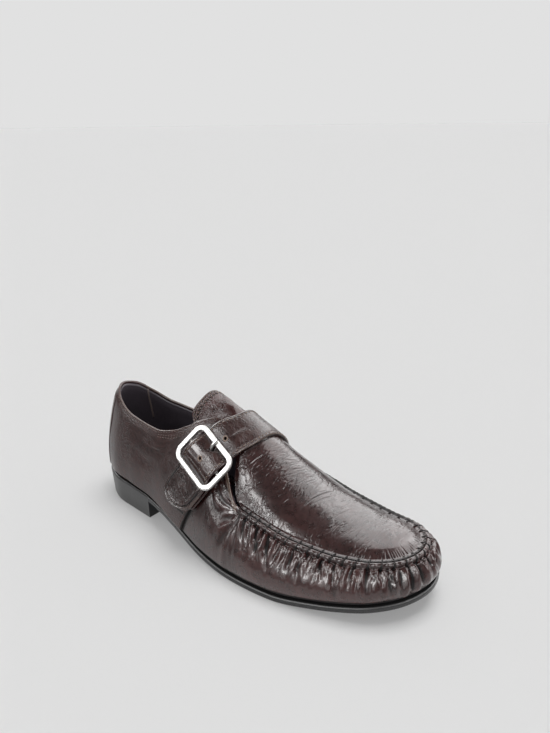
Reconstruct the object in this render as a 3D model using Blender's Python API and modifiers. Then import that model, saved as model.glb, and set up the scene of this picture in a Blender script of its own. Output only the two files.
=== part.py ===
"""Monk strap moccasin loafer, right shoe.

Sizes are in millimetres and become metres where a mesh is made. While the shoe is worked
out, x runs from the back of the heel to the toe, y is negative on the outer (lateral) side
and z is the height above the floor. Every part is then moved so that the origin lies on
the floor under the middle of the shoe.
"""
import math

import bmesh
import bpy
import numpy as np
from mathutils import Matrix, Vector

MM = 0.001
GAP = 0.3                 # clearance between neighbouring pieces
LAY = 0.6                 # overlays above the wall, so that their flats stay clear
REST = 0.45               # the strap above what it lies on

# ---- driving sizes -------------------------------------------------------------------
LENGTH = 300.0            # outsole, heel back to toe
MIDDLE = 152.3            # middle of the whole shoe along its length
SIDE_SHIFT = 1.3          # moves the model so that its box is centred across
SOLE_THICK = 4.0
HEEL_HIGH = 19.6          # heel block with its glue line at the back, up to the outsole
HEEL_LONG = 77.0
HEEL_TAPER = 1.7          # the top lift is smaller than the seat by this all round
WELT_HIGH = 4.2           # the upper bulges out this far above the outsole
TUCK = 3.2                # the upper turns in by this under its bulge
WALL = 2.0                # leather and lining
OVERLAY = 1.2             # quarters lying on the wall
COUNTER = 1.7             # outside counter round the heel
STRAP_THICK = 2.4
TAB_THICK = 1.0
TONGUE_THICK = 2.2
TONGUE_UNDER = 3.0        # its edges lie this far under the wall's outer face
INSOLE_THICK = 2.5
BUCKLE_WIDE = 43.0        # across the strap
BUCKLE_LONG = 32.0        # along the strap
BUCKLE_BAR = 4.0
BUCKLE_THICK = 3.0
BUCKLE_CORNER = 8.0

# outsole half breadths, as seen from above
SOLE = (
    # at, lateral, medial
    (12.5, -17.0, 20.0),
    (30, -28.0, 31.0),
    (54, -32.0, 33.0),
    (76, -34.5, 31.5),
    (99, -38.5, 30.0),
    (121, -43.5, 31.5),
    (144, -48.5, 36.0),
    (166, -52.5, 42.5),
    (189, -54.0, 48.5),
    (211, -53.0, 51.5),
    (233, -49.0, 50.5),
    (256, -42.5, 46.5),
    (277, -33.0, 41.5),
    (293, -17.0, 29.0),
)
HEEL_POINT = (5.0, 1.5)
TOE_POINT = (LENGTH, 5.0)

# underside of the outsole, and how far the upper stands inside the outsole's edge
PROFILE = (
    # at, underside, inset
    (0, HEEL_HIGH, 1.9),
    (30, 18.4, 1.8),
    (HEEL_LONG, 16.0, 1.2),
    (110, 10.4, -0.3),
    (150, 1.5, 0.0),
    (180, 0.0, 0.4),
    (212, 0.0, 0.4),
    (245, 3.6, 0.4),
    (LENGTH, 12.5, 0.4),
)

# ridge of the last: where the two sides of a section meet, and how full the section is
SPINE = (
    # at, height, side, fullness
    (0, 121.0, -1.2, 1.80),
    (38, 115.0, 0.0, 1.22),
    (80, 111.5, 1.6, 1.20),
    (110, 108.5, 3.3, 1.26),
    (135, 101.5, 4.8, 1.33),
    (160, 88.8, 5.8, 1.48),
    (190, 70.0, 6.0, 1.68),
    (220, 53.5, 5.8, 1.95),
    (250, 45.0, 5.6, 2.30),
    (LENGTH, 41.5, 5.6, 2.75),
)
FAN_HEEL = 36.0           # sections turn round these two places on the ridge
FAN_TOE = 260.0
FAN_SOFT = 14.0
ROUNDNESS = 2.0
BULGE = 0.09

# top edge of the walls, as heights, from the heel to the start of the raised seam
COLLAR = (
    # at, lateral, medial
    (0, 95.6, 95.2),
    (9, 94.0, 92.5),
    (26, 86.8, 84.2),
    (50, 79.0, 77.3),
    (80, 76.3, 76.3),
    (100, 81.0, 82.0),
    (113, 87.2, 88.5),
    (124, 92.9, 92.5),
    (134, 95.6, 92.5),
    (142, 92.0, 88.0),
    (150, 81.5, 80.0),
    (157, 69.0, 72.5),
    (163, 61.5, 68.0),
    (170, 55.5, 63.0),
    (180, 48.8, 57.0),
)
SEAM_START = 177.0

# raised seam: share of the way from the ridge of the last out to the feather edge
SEAM = (
    # at, lateral, medial
    (SEAM_START, 0.735, 0.69),
    (205, 0.720, 0.70),
    (232, 0.705, 0.71),
    (255, 0.705, 0.72),
    (277, 0.710, 0.735),
    (LENGTH, 0.725, 0.725),
)

# the apron's free edge between the strap and the start of the seam
APRON_BACK = 156.0
APRON_EDGE = (
    # at, lateral, medial
    (APRON_BACK, 0.42, 0.38),
    (162, 0.49, 0.45),
    (166, 0.58, 0.53),
    (172, 0.67, 0.62),
    (SEAM_START, 0.715, 0.67),
)

# rise of the leather across the seam; distance is measured outward from the valley
RIDGE = (
    # distance, rise
    (-9.0, 0.0),
    (-3.0, -0.5),
    (0.0, -0.8),
    (1.0, 0.9),
    (2.6, 2.2),
    (4.2, 1.9),
    (6.5, 0.3),
    (9.0, 0.0),
)
EDGE_ROWS = (9.0, 6.5, 4.2, 2.6, 1.0, 0.0)

# front edge of the quarters: share of the way up the wall, place along the shoe
QUARTER_FRONT = (
    # up, at
    (0.0, 124.5),
    (0.15, 130.0),
    (0.37, 139.5),
    (0.52, 145.5),
    (0.75, 152.0),
    (1.0, 157.0),
)
COUNTER_EDGE = 20.0

# centre line of the strap on the last; girth is measured from the ridge, lateral negative
STRAP = (
    # girth, at, width
    (-78.0, 124.2, 32.0),
    (-64.0, 132.4, 31.5),
    (-45.0, 141.0, 31.0),
    (-28.0, 147.8, 29.5),
    (-6.0, 156.2, 26.5),
    (20.0, 158.5, 25.5),
    (50.0, 150.0, 27.0),
    (82.0, 138.0, 30.0),
)
STRAP_HOLES = (
    # girth, width; the prong stretches the middle one
    (-26.7, 3.0),
    (-37.2, 4.2),
    (-46.7, 3.0),
)
BUCKLE_AT = (-45.5, 140.5)
BUCKLE_TURN = -24.0       # degrees, from straight down the side towards the toe
BUCKLE_TILT = -5.0        # degrees, the upper end lies nearer to the instep
BUCKLE_LIFT = 7.25        # middle plane of the frame above the last
BAR_DROP = 1.6            # the middle bar lies below the middle plane
PIN = 1.4                 # radius of the middle bar
PRONG = 1.1               # radius of the prong's stem
HOOK = 0.55               # radius of the prong where it hooks round the bar
HUMP_RISE = 6.0           # the strap climbs this much over the middle bar
HUMP_BACK = -8.5          # shoulders of the hump, along the strap from the bar
HUMP_FRONT = 9.2
HUMP_SOFT = 3.2

TIP_LONG = 14.5           # length of the strap's round tip
TAB_WIDER = 1.2           # the tab shows this far round the tip

# the tongue's back edge, and how far its middle is lifted along its length
TONGUE_EDGE = (
    # girth, at
    (-34.0, 119.0),
    (-30.0, 114.0),
    (-24.0, 111.8),
    (-12.0, 113.8),
    (0.0, 115.3),
    (12.0, 118.5),
    (20.0, 123.0),
    (25.0, 129.0),
)
TONGUE_END = 155.2
TONGUE_LIFT = (
    # at, lift
    (112.0, 3.6),
    (126.0, 3.3),
    (137.0, 2.8),
    (147.0, 1.2),
    (TONGUE_END, 0.4),
)
LIFT_CLEAR = (1.0, 15.0)  # the lift grows between these distances from the wall's top edge

# ---- small tools ---------------------------------------------------------------------


def column(table, which):
    """One column of a table as an array."""
    return np.array([row[which] for row in table], float)


def smooth(table, which, at):
    """Read a table's column as a smooth curve that never overshoots its rows."""
    xs, ys = column(table, 0), column(table, which)
    at = np.clip(np.asarray(at, float), xs[0], xs[-1])
    step = np.diff(xs)
    slope = np.diff(ys) / step
    left, right = slope[:-1], slope[1:]
    same = left * right > 0
    safe = np.where(same, left + right, 1.0)
    tangent = np.concatenate([[slope[0]], np.where(same, 2 * left * right / safe, 0.0), [slope[-1]]])
    span = np.clip(np.searchsorted(xs, at, side="right") - 1, 0, len(step) - 1)
    t = (at - xs[span]) / step[span]
    rise = ys[span + 1] - ys[span]
    start = tangent[span] * step[span]
    end = tangent[span + 1] * step[span]
    return ys[span] + start * t + (3 * rise - 2 * start - end) * t**2 + (start + end - 2 * rise) * t**3


def ease(value, low, high):
    """0 below low, 1 above high, and a soft step between."""
    t = np.clip((np.asarray(value, float) - low) / (high - low), 0, 1)
    return t * t * (3 - 2 * t)


def closed_curve(points, per_span=40):
    """A smooth closed curve through points, as many short steps."""
    here = np.array(points, float)
    after = np.roll(here, -1, 0)
    length = np.linalg.norm(after - here, axis=1)[:, None]
    ahead = (after - here) / length
    behind = np.roll(ahead, 1, 0)
    before = np.roll(length, 1, 0)
    tangent = (length * behind + before * ahead) / (length + before)
    tangent_after = np.roll(tangent, -1, 0)
    t = np.linspace(0, 1, per_span, endpoint=False)[None, :, None]
    span = length[:, None]
    curve = ((2 * t**3 - 3 * t**2 + 1) * here[:, None] + (t**3 - 2 * t**2 + t) * span * tangent[:, None]
             + (3 * t**2 - 2 * t**3) * after[:, None] + (t**3 - t**2) * span * tangent_after[:, None])
    return curve.reshape(-1, 2)


def inward(curve):
    """Unit directions pointing into a closed curve that runs lateral side first."""
    along = np.roll(curve, -1, 0) - np.roll(curve, 1, 0)
    along /= np.linalg.norm(along, axis=1)[:, None]
    return np.stack([-along[:, 1], along[:, 0]], -1)


# ---- the last ------------------------------------------------------------------------

lateral_side = [(at, lateral) for at, lateral, medial in SOLE]
medial_side = [(at, medial) for at, lateral, medial in reversed(SOLE)]
EDGE = closed_curve([HEEL_POINT] + lateral_side + [TOE_POINT] + medial_side)
FEATHER = EDGE + inward(EDGE) * smooth(PROFILE, 2, EDGE[:, 0])[:, None]
STEPS = len(FEATHER)
TOE_STEP = int(FEATHER[:, 0].argmax())
HEEL_STEP = int(FEATHER[:, 0].argmin())


def sole_top(at):
    """Height of the outsole's upper face."""
    return smooth(PROFILE, 1, at) + SOLE_THICK


def around(step, curve):
    """A point on a closed curve at a fractional step."""
    low = np.floor(step).astype(int)
    share = (step - low)[..., None]
    return curve[low % STEPS] * (1 - share) + curve[(low + 1) % STEPS] * share


def step_at(at, side, curve=FEATHER):
    """The step round the curve that lies at a place along the shoe, on one side."""
    heel, toe = (int(curve[:, 0].argmin()), int(curve[:, 0].argmax()))
    if side < 0:
        steps = np.arange(heel if heel <= toe else heel - STEPS, toe + 1)
        return np.interp(at, curve[steps % STEPS, 0], steps)
    steps = np.arange(toe, (heel if heel > toe else heel + STEPS) + 1)[::-1]
    return np.interp(at, curve[steps % STEPS, 0], steps)


def skin(step, rise):
    """The last's surface: step runs round the feather edge, rise from 0 there to 1 on the ridge."""
    step = np.asarray(step, float)
    rise = np.clip(np.asarray(rise, float), 0.0, 1.0)
    foot = around(step, FEATHER)
    at = foot[..., 0]
    ridge_at = FAN_HEEL + FAN_SOFT * np.logaddexp(0, (at - FAN_HEEL) / FAN_SOFT)
    ridge_at = FAN_TOE - FAN_SOFT * np.logaddexp(0, (FAN_TOE - ridge_at) / FAN_SOFT)
    ridge = np.stack([ridge_at, smooth(SPINE, 2, ridge_at)], -1)
    low = sole_top(at) + WELT_HIGH
    high = smooth(SPINE, 1, ridge_at)
    up = np.sin(rise * math.pi / 2) ** (2 / smooth(SPINE, 3, at))
    out = np.cos(rise * math.pi / 2) ** (2 / ROUNDNESS)
    out = out + BULGE * 4 * up * (1 - up) * np.exp(-3 * up)
    plan = ridge + (foot - ridge) * out[..., None]
    return np.concatenate([plan, (low + (high - low) * up)[..., None]], -1)


def skin_normal(step, rise):
    """Outward unit normal of the last's surface."""
    step = np.asarray(step, float)
    rise = np.clip(rise, 0.01, 0.97)
    across = skin(step + 1.5, rise) - skin(step - 1.5, rise)
    upward = skin(step, rise + 0.01) - skin(step, rise - 0.01)
    normal = np.cross(across, upward)
    return normal / np.linalg.norm(normal, axis=-1)[..., None]


RISES = np.linspace(0, 1, 161)


def fibre_lengths(step):
    """Lengths up the last's surface from the feather edge, one row for each step."""
    step = np.atleast_1d(np.asarray(step, float))
    line = skin(step[:, None] + 0 * RISES[None], RISES[None] + 0 * step[:, None])
    pieces = np.linalg.norm(np.diff(line, axis=1), axis=2)
    return np.concatenate([np.zeros((len(step), 1)), np.cumsum(pieces, axis=1)], 1), line


def rise_at_height(step, height):
    """The rise at which a fibre reaches a height."""
    _, line = fibre_lengths(step)
    return np.array([np.interp(h, row[:, 2], RISES) for h, row in zip(np.atleast_1d(height), line)])


def rise_at_reach(reach):
    """The rise at which a fibre lies a share of the way out from the ridge."""
    return np.arccos(np.clip(reach, 0, 1) ** (ROUNDNESS / 2)) * 2 / math.pi


def rise_at_length(step, length):
    """The rises at given lengths up each fibre."""
    lengths, _ = fibre_lengths(step)
    return np.array([np.interp(want, row, RISES) for want, row in zip(length, lengths)])


def on_last(at, girth):
    """Step and rise for places along the shoe and girths from the ridge, lateral negative."""
    at, girth = np.broadcast_arrays(np.asarray(at, float), np.asarray(girth, float))
    step = np.where(girth < 0, step_at(at, -1), step_at(at, 1))
    lengths, _ = fibre_lengths(step.ravel())
    length = lengths[:, -1] - np.abs(girth).ravel()
    rise = np.array([np.interp(want, row, RISES) for want, row in zip(length, lengths)])
    return step, rise.reshape(step.shape)


def top_rise(step, side):
    """The rise of the wall's top edge: the collar and throat, then the raised seam."""
    at = around(step, FEATHER)[..., 0]
    which = 1 if side < 0 else 2
    collar = rise_at_height(step, smooth(COLLAR, which, at))
    seam = rise_at_reach(smooth(SEAM, which, at))
    share = ease(at, SEAM_START - 9, SEAM_START - 1)
    return collar * (1 - share) + seam * share


# ---- making parts --------------------------------------------------------------------


def clear_scene():
    for thing in list(bpy.data.objects):
        bpy.data.objects.remove(thing, do_unlink=True)


def finish(name, colour, roughness, metallic=0.0):
    """A Principled material."""
    material = bpy.data.materials.new(name)
    material.use_nodes = True
    shader = material.node_tree.nodes["Principled BSDF"]
    shader.inputs["Base Color"].default_value = (*colour, 1.0)
    shader.inputs["Roughness"].default_value = roughness
    shader.inputs["Metallic"].default_value = metallic
    material.diffuse_color = (*colour, 1.0)
    return material


def to_model(points):
    """Millimetres on the shoe to metres round the origin."""
    points = np.asarray(points, float)
    return (points + np.array([-MIDDLE, SIDE_SHIFT, 0.0])) * MM


def add_object(name, mesh, material, collection, sharp=35.0):
    thing = bpy.data.objects.new(name, mesh)
    mesh.materials.clear()
    mesh.materials.append(material)
    mesh.shade_smooth()
    mesh.set_sharp_from_angle(angle=math.radians(sharp))
    collection.objects.link(thing)
    return thing


def mesh_from(name, points, faces):
    """A mesh with its faces turned to point outward."""
    mesh = bpy.data.meshes.new(name)
    mesh.from_pydata([tuple(p) for p in to_model(points)], [], faces)
    work = bmesh.new()
    work.from_mesh(mesh)
    bmesh.ops.remove_doubles(work, verts=work.verts, dist=0.00001)
    bmesh.ops.recalc_face_normals(work, faces=work.faces)
    work.to_mesh(mesh)
    work.free()
    return mesh


def slab(name, lower, upper):
    """A closed sheet between two grids of points that have the same rows and columns."""
    rows, columns = lower.shape[:2]
    points = np.concatenate([lower.reshape(-1, 3), upper.reshape(-1, 3)])
    base = rows * columns

    def corner(row, col, top):
        return row * columns + col + (base if top else 0)

    faces = []
    for row in range(rows - 1):
        for col in range(columns - 1):
            ring = [(row, col), (row, col + 1), (row + 1, col + 1), (row + 1, col)]
            faces.append([corner(*place, True) for place in ring])
            faces.append([corner(*place, False) for place in reversed(ring)])
    border = [(0, col) for col in range(columns)]
    border += [(row, columns - 1) for row in range(1, rows)]
    border += [(rows - 1, col) for col in range(columns - 2, -1, -1)]
    border += [(row, 0) for row in range(rows - 2, 0, -1)]
    for here, after in zip(border, border[1:] + border[:1]):
        low_edge = [corner(*here, False), corner(*after, False)]
        faces.append(low_edge + [corner(*after, True), corner(*here, True)])
    return mesh_from(name, points, faces)


def sheet_on_last(name, step, rise, low, high):
    """A sheet of leather lying on the last between two levels above its surface."""
    place = skin(step, rise)
    normal = skin_normal(step, rise)
    lower = place + normal * np.asarray(low)[..., None]
    upper = place + normal * np.asarray(high)[..., None]
    return slab(name, lower, upper)


def stations(first, last, count, curve=EDGE):
    """Places along the shoe, evenly spaced round the lateral edge."""
    start, end = step_at(first, -1, curve), step_at(last, -1, curve)
    fine = np.linspace(start, end, 600)
    line = around(fine, curve)
    length = np.concatenate([[0], np.cumsum(np.linalg.norm(np.diff(line, axis=0), axis=1))])
    even = np.interp(np.linspace(0, length[-1], count + 1), length, fine)
    return around(even, curve)[:, 0]


# ---- sole ----------------------------------------------------------------------------


def plate(name, curve, places, low, high):
    """A plate with a curved outline whose height changes only along the shoe."""
    sides = [around(step_at(places, side, curve), curve)[:, 1] for side in (-1, 1)]
    grid = np.stack([np.stack([places, y, 0 * y], -1) for y in sides], 1)
    lower = grid + np.stack([0 * low, 0 * low, low], -1)[:, None]
    upper = grid + np.stack([0 * high, 0 * high, high], -1)[:, None]
    return slab(name, lower, upper)


def make_outsole():
    places = stations(HEEL_POINT[0], LENGTH, 50)
    under = smooth(PROFILE, 1, places)
    return plate("outsole", EDGE, places, under, under + SOLE_THICK)


def make_heel():
    seat = stations(HEEL_POINT[0], HEEL_LONG, 16)
    lift_edge = EDGE + inward(EDGE) * HEEL_TAPER
    lift = np.interp(seat, [HEEL_POINT[0], HEEL_LONG], [lift_edge[:, 0].min(), HEEL_LONG - HEEL_TAPER])
    levels = []
    for places, curve, height in (
        (lift, lift_edge, 0.0 * seat),
        (seat, EDGE, smooth(PROFILE, 1, seat) - GAP),
    ):
        sides = [around(step_at(places, side, curve), curve)[:, 1] for side in (-1, 1)]
        levels.append(np.stack([np.stack([places, y, height], -1) for y in sides], 1))
    return slab("heel", *levels)


def make_insole():
    inner = FEATHER + inward(FEATHER) * (TUCK + WALL + 1.2)
    places = stations(inner[:, 0].min(), inner[:, 0].max(), 30, inner)
    under = sole_top(places) + GAP
    return plate("insole", inner, places, under, under + INSOLE_THICK)


# ---- upper ---------------------------------------------------------------------------


def wall_rows(steps, side):
    """Rows of the wall from the tuck at the sole up to the top edge, one column a step."""
    top = top_rise(steps, side)
    lengths, _ = fibre_lengths(steps)
    full = np.array([np.interp(r, RISES, row) for r, row in zip(top, lengths)])
    near_top = full[:, None] - np.array(EDGE_ROWS)[None]
    below = np.linspace(0, 1, 6)[None, :-1] * near_top[:, :1]
    rise = rise_at_length(steps, np.concatenate([below, near_top], 1))
    column_steps = steps[:, None] + 0 * rise
    place = skin(column_steps, rise)
    normal = skin_normal(column_steps, rise)
    distance = np.concatenate([below * 0 + EDGE_ROWS[0], np.array(EDGE_ROWS)[None] + 0 * near_top], 1)
    at = around(steps, FEATHER)[:, 0]
    raised = smooth(RIDGE, 1, distance) * ease(at, SEAM_START - 4, SEAM_START + 6)[:, None]
    wall = place + normal * raised[..., None]
    foot = around(steps, FEATHER)
    turned = around(steps, inward(FEATHER))
    tucks = []
    for share, height in ((1.0, GAP), (0.4, 0.42 * WELT_HIGH)):
        tucks.append(np.concatenate([foot + turned * TUCK * share, (sole_top(at) + height)[:, None]], 1))
    return np.concatenate([np.stack(tucks, 1), wall], 1), top


def apron_rows(steps, side, edge):
    """Rows of the apron from its edge, at a rise, up to the ridge of the last."""
    share = np.linspace(0, 1, 6)[None]
    lengths, _ = fibre_lengths(steps)
    start = np.array([np.interp(r, RISES, row) for r, row in zip(edge, lengths)])
    length = start[:, None] + (lengths[:, -1] - start)[:, None] * share
    rise = rise_at_length(steps, length)
    rise[:, -1] = 1.0
    place = skin(steps[:, None] + 0 * rise, rise)
    normal = skin_normal(steps[:, None] + 0 * rise, rise)
    at = around(steps, FEATHER)[:, 0]
    near_seam = smooth(RIDGE, 1, -(length - start[:, None]))
    sunk = -(WALL + GAP) * (1 - ease(at, SEAM_START - 14, SEAM_START + 14))[:, None]
    level = np.where(at[:, None] >= SEAM_START - 0.5, near_seam, 0.0) + sunk * share**0.3
    return place + normal * level[..., None]


def make_upper():
    """One hollow wall: both sides, the toe and the apron, open at the collar and underneath."""
    places = np.unique(np.concatenate([
        stations(FEATHER[:, 0].min(), APRON_BACK, 21, FEATHER),
        stations(APRON_BACK, SEAM_START, 3, FEATHER),
        stations(SEAM_START, FEATHER[:, 0].max(), 22, FEATHER)]))
    count = len(places)
    grids = {}
    for side in (-1, 1):
        steps = step_at(places, side)
        wall, top = wall_rows(steps, side)
        which = 1 if side < 0 else 2
        sewn = places >= SEAM_START - 0.01
        edge = np.where(sewn, top, rise_at_reach(smooth(APRON_EDGE, which, places)))
        apron = apron_rows(steps, side, edge)
        apron[sewn, 0] = wall[sewn, -1]
        grids[side] = (wall, apron)
    points = []
    faces = []
    index = {}

    def vertex(kind, side, col, row):
        place = grids[side][0 if kind == "wall" else 1][col, row]
        key = tuple(np.round(place, 4))
        if key not in index:
            index[key] = len(points)
            points.append(place)
        return index[key]

    def patch(kind, first, rows):
        for side in (-1, 1):
            for col in range(first, count - 1):
                for row in range(rows - 1):
                    ring = [vertex(kind, side, col, row), vertex(kind, side, col + 1, row),
                            vertex(kind, side, col + 1, row + 1), vertex(kind, side, col, row + 1)]
                    ring = list(dict.fromkeys(ring))
                    if len(ring) > 2:
                        faces.append(ring if side < 0 else ring[::-1])

    for side in (-1, 1):
        for grid in grids[side]:
            for end in (0, count - 1):
                grid[end] = (grids[-1][0 if grid is grids[side][0] else 1][end])
    for col in range(count):
        grids[1][1][col, -1] = grids[-1][1][col, -1]
    patch("wall", 0, grids[-1][0].shape[1])
    patch("apron", int(np.searchsorted(places, APRON_BACK)), grids[-1][1].shape[1])
    mesh = bpy.data.meshes.new("upper")
    mesh.from_pydata([tuple(p) for p in to_model(points)], [], faces)
    return mesh


def hollow(thing, thickness):
    """Give an open surface its wall, on the inner side."""
    wall = thing.modifiers.new("wall", "SOLIDIFY")
    wall.thickness = thickness * MM
    wall.offset = -1.0
    wall.use_even_offset = True
    wall.use_quality_normals = True


def wall_sheet(name, places_low, places_high, side, low, high, columns=14, rows=8, top=0.985):
    """A sheet on one side of the wall; its front end may slope with the height."""
    ups = np.linspace(0, top, rows)
    grid_steps = np.zeros((rows, columns))
    for row, up in enumerate(ups):
        ends = (places_low(up), places_high(up))
        grid_steps[row] = step_at(np.linspace(*ends, columns), side)
    flat = grid_steps.ravel()
    lengths, _ = fibre_lengths(flat)
    full = np.array([np.interp(r, RISES, row) for r, row in zip(top_rise(flat, side), lengths)])
    share = np.repeat(ups, columns)
    rise = rise_at_length(flat, (full * share)[:, None])[:, 0].reshape(rows, columns)
    return sheet_on_last(name, grid_steps, rise, low + 0 * rise, high + 0 * rise)


def make_quarter(name, side):
    start = COUNTER_EDGE + 1.0
    return wall_sheet(name, lambda up: start, lambda up: float(smooth(QUARTER_FRONT, 1, up)),
                      side, LAY, LAY + OVERLAY)


def make_counter():
    """The outside counter wraps the back of the heel."""
    ends = (step_at(COUNTER_EDGE, 1) - STEPS, step_at(COUNTER_EDGE, -1))
    steps = np.linspace(*ends, 15)
    ups = np.linspace(0, 0.985, 8)
    sides = np.where(steps < step_at(FEATHER[:, 0].min(), -1), 1, -1)
    top = np.array([top_rise(np.array([s]), side)[0] for s, side in zip(steps, sides)])
    lengths, _ = fibre_lengths(steps)
    full = np.array([np.interp(r, RISES, row) for r, row in zip(top, lengths)])
    rise = rise_at_length(steps, full[:, None] * ups[None]).T
    grid = steps[None] + 0 * rise
    return sheet_on_last("heel_counter", grid, rise, LAY + 0 * rise, LAY + COUNTER + 0 * rise)


def wall_girth(at, side):
    """Distance from the ridge of the last out to the wall's top edge."""
    steps = step_at(at, side)
    lengths, _ = fibre_lengths(steps)
    full = np.array([np.interp(r, RISES, row) for r, row in zip(top_rise(steps, side), lengths)])
    return lengths[:, -1] - full


def make_tongue():
    """The tongue runs on from the apron under the strap and stands up behind it."""
    girth = np.linspace(TONGUE_EDGE[0][0], TONGUE_EDGE[-1][0], 16)[None] + np.zeros((10, 1))
    edge = smooth(TONGUE_EDGE, 1, girth)
    at = edge + (TONGUE_END - edge) * np.linspace(0, 1, 10)[:, None]
    step, rise = on_last(at, girth)
    limits = [wall_girth(at.ravel(), side).reshape(at.shape) for side in (-1, 1)]
    clear = np.minimum(limits[0] + girth, limits[1] - girth)
    top = smooth(TONGUE_LIFT, 1, at) * ease(clear, *LIFT_CLEAR) - TONGUE_UNDER
    return sheet_on_last("tongue", step, rise, top - TONGUE_THICK, top)


# ---- strap and buckle ----------------------------------------------------------------


def strap_frame(girth):
    """Centre line place as (at, girth), and the (at, girth) step that is 1 mm straight across."""
    girth = np.asarray(girth, float)
    at = smooth(STRAP, 1, girth)
    slope = smooth(STRAP, 1, girth + 0.5) - smooth(STRAP, 1, girth - 0.5)
    ahead = skin(*on_last(at + 1, girth)) - skin(*on_last(at - 1, girth))
    up = skin(*on_last(at, girth + 1)) - skin(*on_last(at, girth - 1))
    ahead, up = ahead / 2, up / 2
    along = up + ahead * slope[..., None]
    share = (along * up).sum(-1) / (along * ahead).sum(-1)
    across = np.stack([np.ones_like(share), -1 / share], -1)
    real = ahead + up * across[..., 1:]
    return np.stack([at, girth], -1), across / np.linalg.norm(real, axis=-1)[..., None]


def strap_grid(extra, lines, rows, tip=0.0):
    """Grid of (at, girth) places over a strap; the first end may be round."""
    share = np.linspace(-1, 1, rows)
    centre, across = strap_frame(lines)
    half = smooth(STRAP, 2, lines) / 2 + extra
    grid = centre[:, None] + across[:, None] * (share * half[:, None])[..., None]
    if not tip:
        return grid
    back = (centre[0] - centre[1]) / np.linalg.norm(centre[0] - centre[1])
    cap = []
    for turn in np.radians([82, 66, 50, 34, 17]):
        wide = across[0] * half[0] * math.cos(turn)
        cap.append(centre[0] + back * tip * math.sin(turn) + wide * share[:, None])
    return np.concatenate([np.stack(cap), grid])


def strap_level(lines):
    """Height of the strap's underside above the last: up over the buckle's middle bar."""
    away = lines - BUCKLE_AT[0]
    hump = ease(away, HUMP_BACK - HUMP_SOFT, HUMP_BACK + HUMP_SOFT)
    hump = hump * (1 - ease(away, HUMP_FRONT - HUMP_SOFT, HUMP_FRONT + HUMP_SOFT))
    on_tab = (TAB_THICK + GAP) * (away < 0)
    return LAY + OVERLAY + REST + on_tab * (1 - hump) + HUMP_RISE * hump


def strap_lines():
    """Girths of the strap's rows: close together over the buckle."""
    middle = BUCKLE_AT[0]
    return np.concatenate([np.linspace(STRAP[0][0], middle - 18, 5)[:-1],
                           np.linspace(middle - 18, middle + 18, 23),
                           np.linspace(middle + 18, STRAP[-1][0], 21)[1:]])


def make_strap():
    lines = strap_lines()
    grid = strap_grid(0.0, lines, 5, TIP_LONG)
    step, rise = on_last(grid[..., 0], grid[..., 1])
    low = strap_level(lines)
    low = np.concatenate([np.full(len(grid) - len(lines), low[0]), low])[:, None] + 0 * rise
    return sheet_on_last("strap", step, rise, low, low + STRAP_THICK)


def make_tab():
    """The short tab that holds the buckle, stitched to the quarter under the strap's tip."""
    grid = strap_grid(TAB_WIDER, np.linspace(STRAP[0][0], BUCKLE_AT[0] - 8.0, 8), 5, TIP_LONG + TAB_WIDER)
    step, rise = on_last(grid[..., 0], grid[..., 1])
    low = LAY + OVERLAY + GAP
    return sheet_on_last("buckle_tab", step, rise, low + 0 * rise, low + TAB_THICK + 0 * rise)


def buckle_pose():
    """Where the buckle lies: x across the strap, y up along it, z out of the shoe."""
    girth, at = BUCKLE_AT
    step, rise = on_last(np.array(at), np.array(girth))
    place = skin(step, rise)
    normal = Vector(skin_normal(step, rise))
    turn = math.radians(BUCKLE_TURN)
    ahead = np.array([-math.sin(turn), math.cos(turn)])
    further = on_last(np.array(at) + ahead[0], np.array(girth) + ahead[1])
    along = Vector(skin(*further) - place)
    along = (along - normal * along.dot(normal)).normalized()
    across = along.cross(normal)
    pose = Matrix((across, along, normal)).transposed().to_4x4()
    pose.translation = Vector(to_model(place)) + normal * BUCKLE_LIFT * MM
    return pose @ Matrix.Rotation(math.radians(BUCKLE_TILT), 4, "X")


def rounded_rectangle(wide, long, corner, per_corner=7):
    """Outline of a rectangle with round corners."""
    outline = []
    for quarter in range(4):
        middle = (quarter + 0.5) * math.pi / 2
        across = math.copysign(wide / 2 - corner, math.cos(middle))
        along = math.copysign(long / 2 - corner, math.sin(middle))
        for turn in np.linspace(quarter, quarter + 1, per_corner) * math.pi / 2:
            outline.append((across + corner * math.cos(turn), along + corner * math.sin(turn)))
    return np.array(outline)


def make_frame():
    """The buckle's frame: a rounded flat bar swept round a rectangle with round corners."""
    section = []
    for turn in np.linspace(0, 2 * math.pi, 10, endpoint=False) + math.pi / 10:
        across = math.copysign(abs(math.cos(turn)) ** 0.65, math.cos(turn)) * BUCKLE_BAR / 2
        up = math.copysign(abs(math.sin(turn)) ** 0.65, math.sin(turn)) * BUCKLE_THICK / 2
        section.append((across, up))
    rings = []
    for across, up in section:
        inset = BUCKLE_BAR / 2 - across
        ring = rounded_rectangle(BUCKLE_WIDE - 2 * inset, BUCKLE_LONG - 2 * inset, BUCKLE_CORNER - inset)
        rings.append(np.concatenate([ring, np.full((len(ring), 1), up)], 1))
    rings = np.stack(rings)
    sides, around_count = rings.shape[:2]
    faces = []
    for row in range(sides):
        for col in range(around_count):
            here, after = row, (row + 1) % sides
            beside = (col + 1) % around_count
            faces.append([here * around_count + col, here * around_count + beside,
                          after * around_count + beside, after * around_count + col])
    mesh = bpy.data.meshes.new("buckle_frame")
    mesh.from_pydata([tuple(p * MM) for p in rings.reshape(-1, 3)], [], faces)
    work = bmesh.new()
    work.from_mesh(mesh)
    bmesh.ops.recalc_face_normals(work, faces=work.faces)
    work.to_mesh(mesh)
    work.free()
    return mesh


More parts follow.
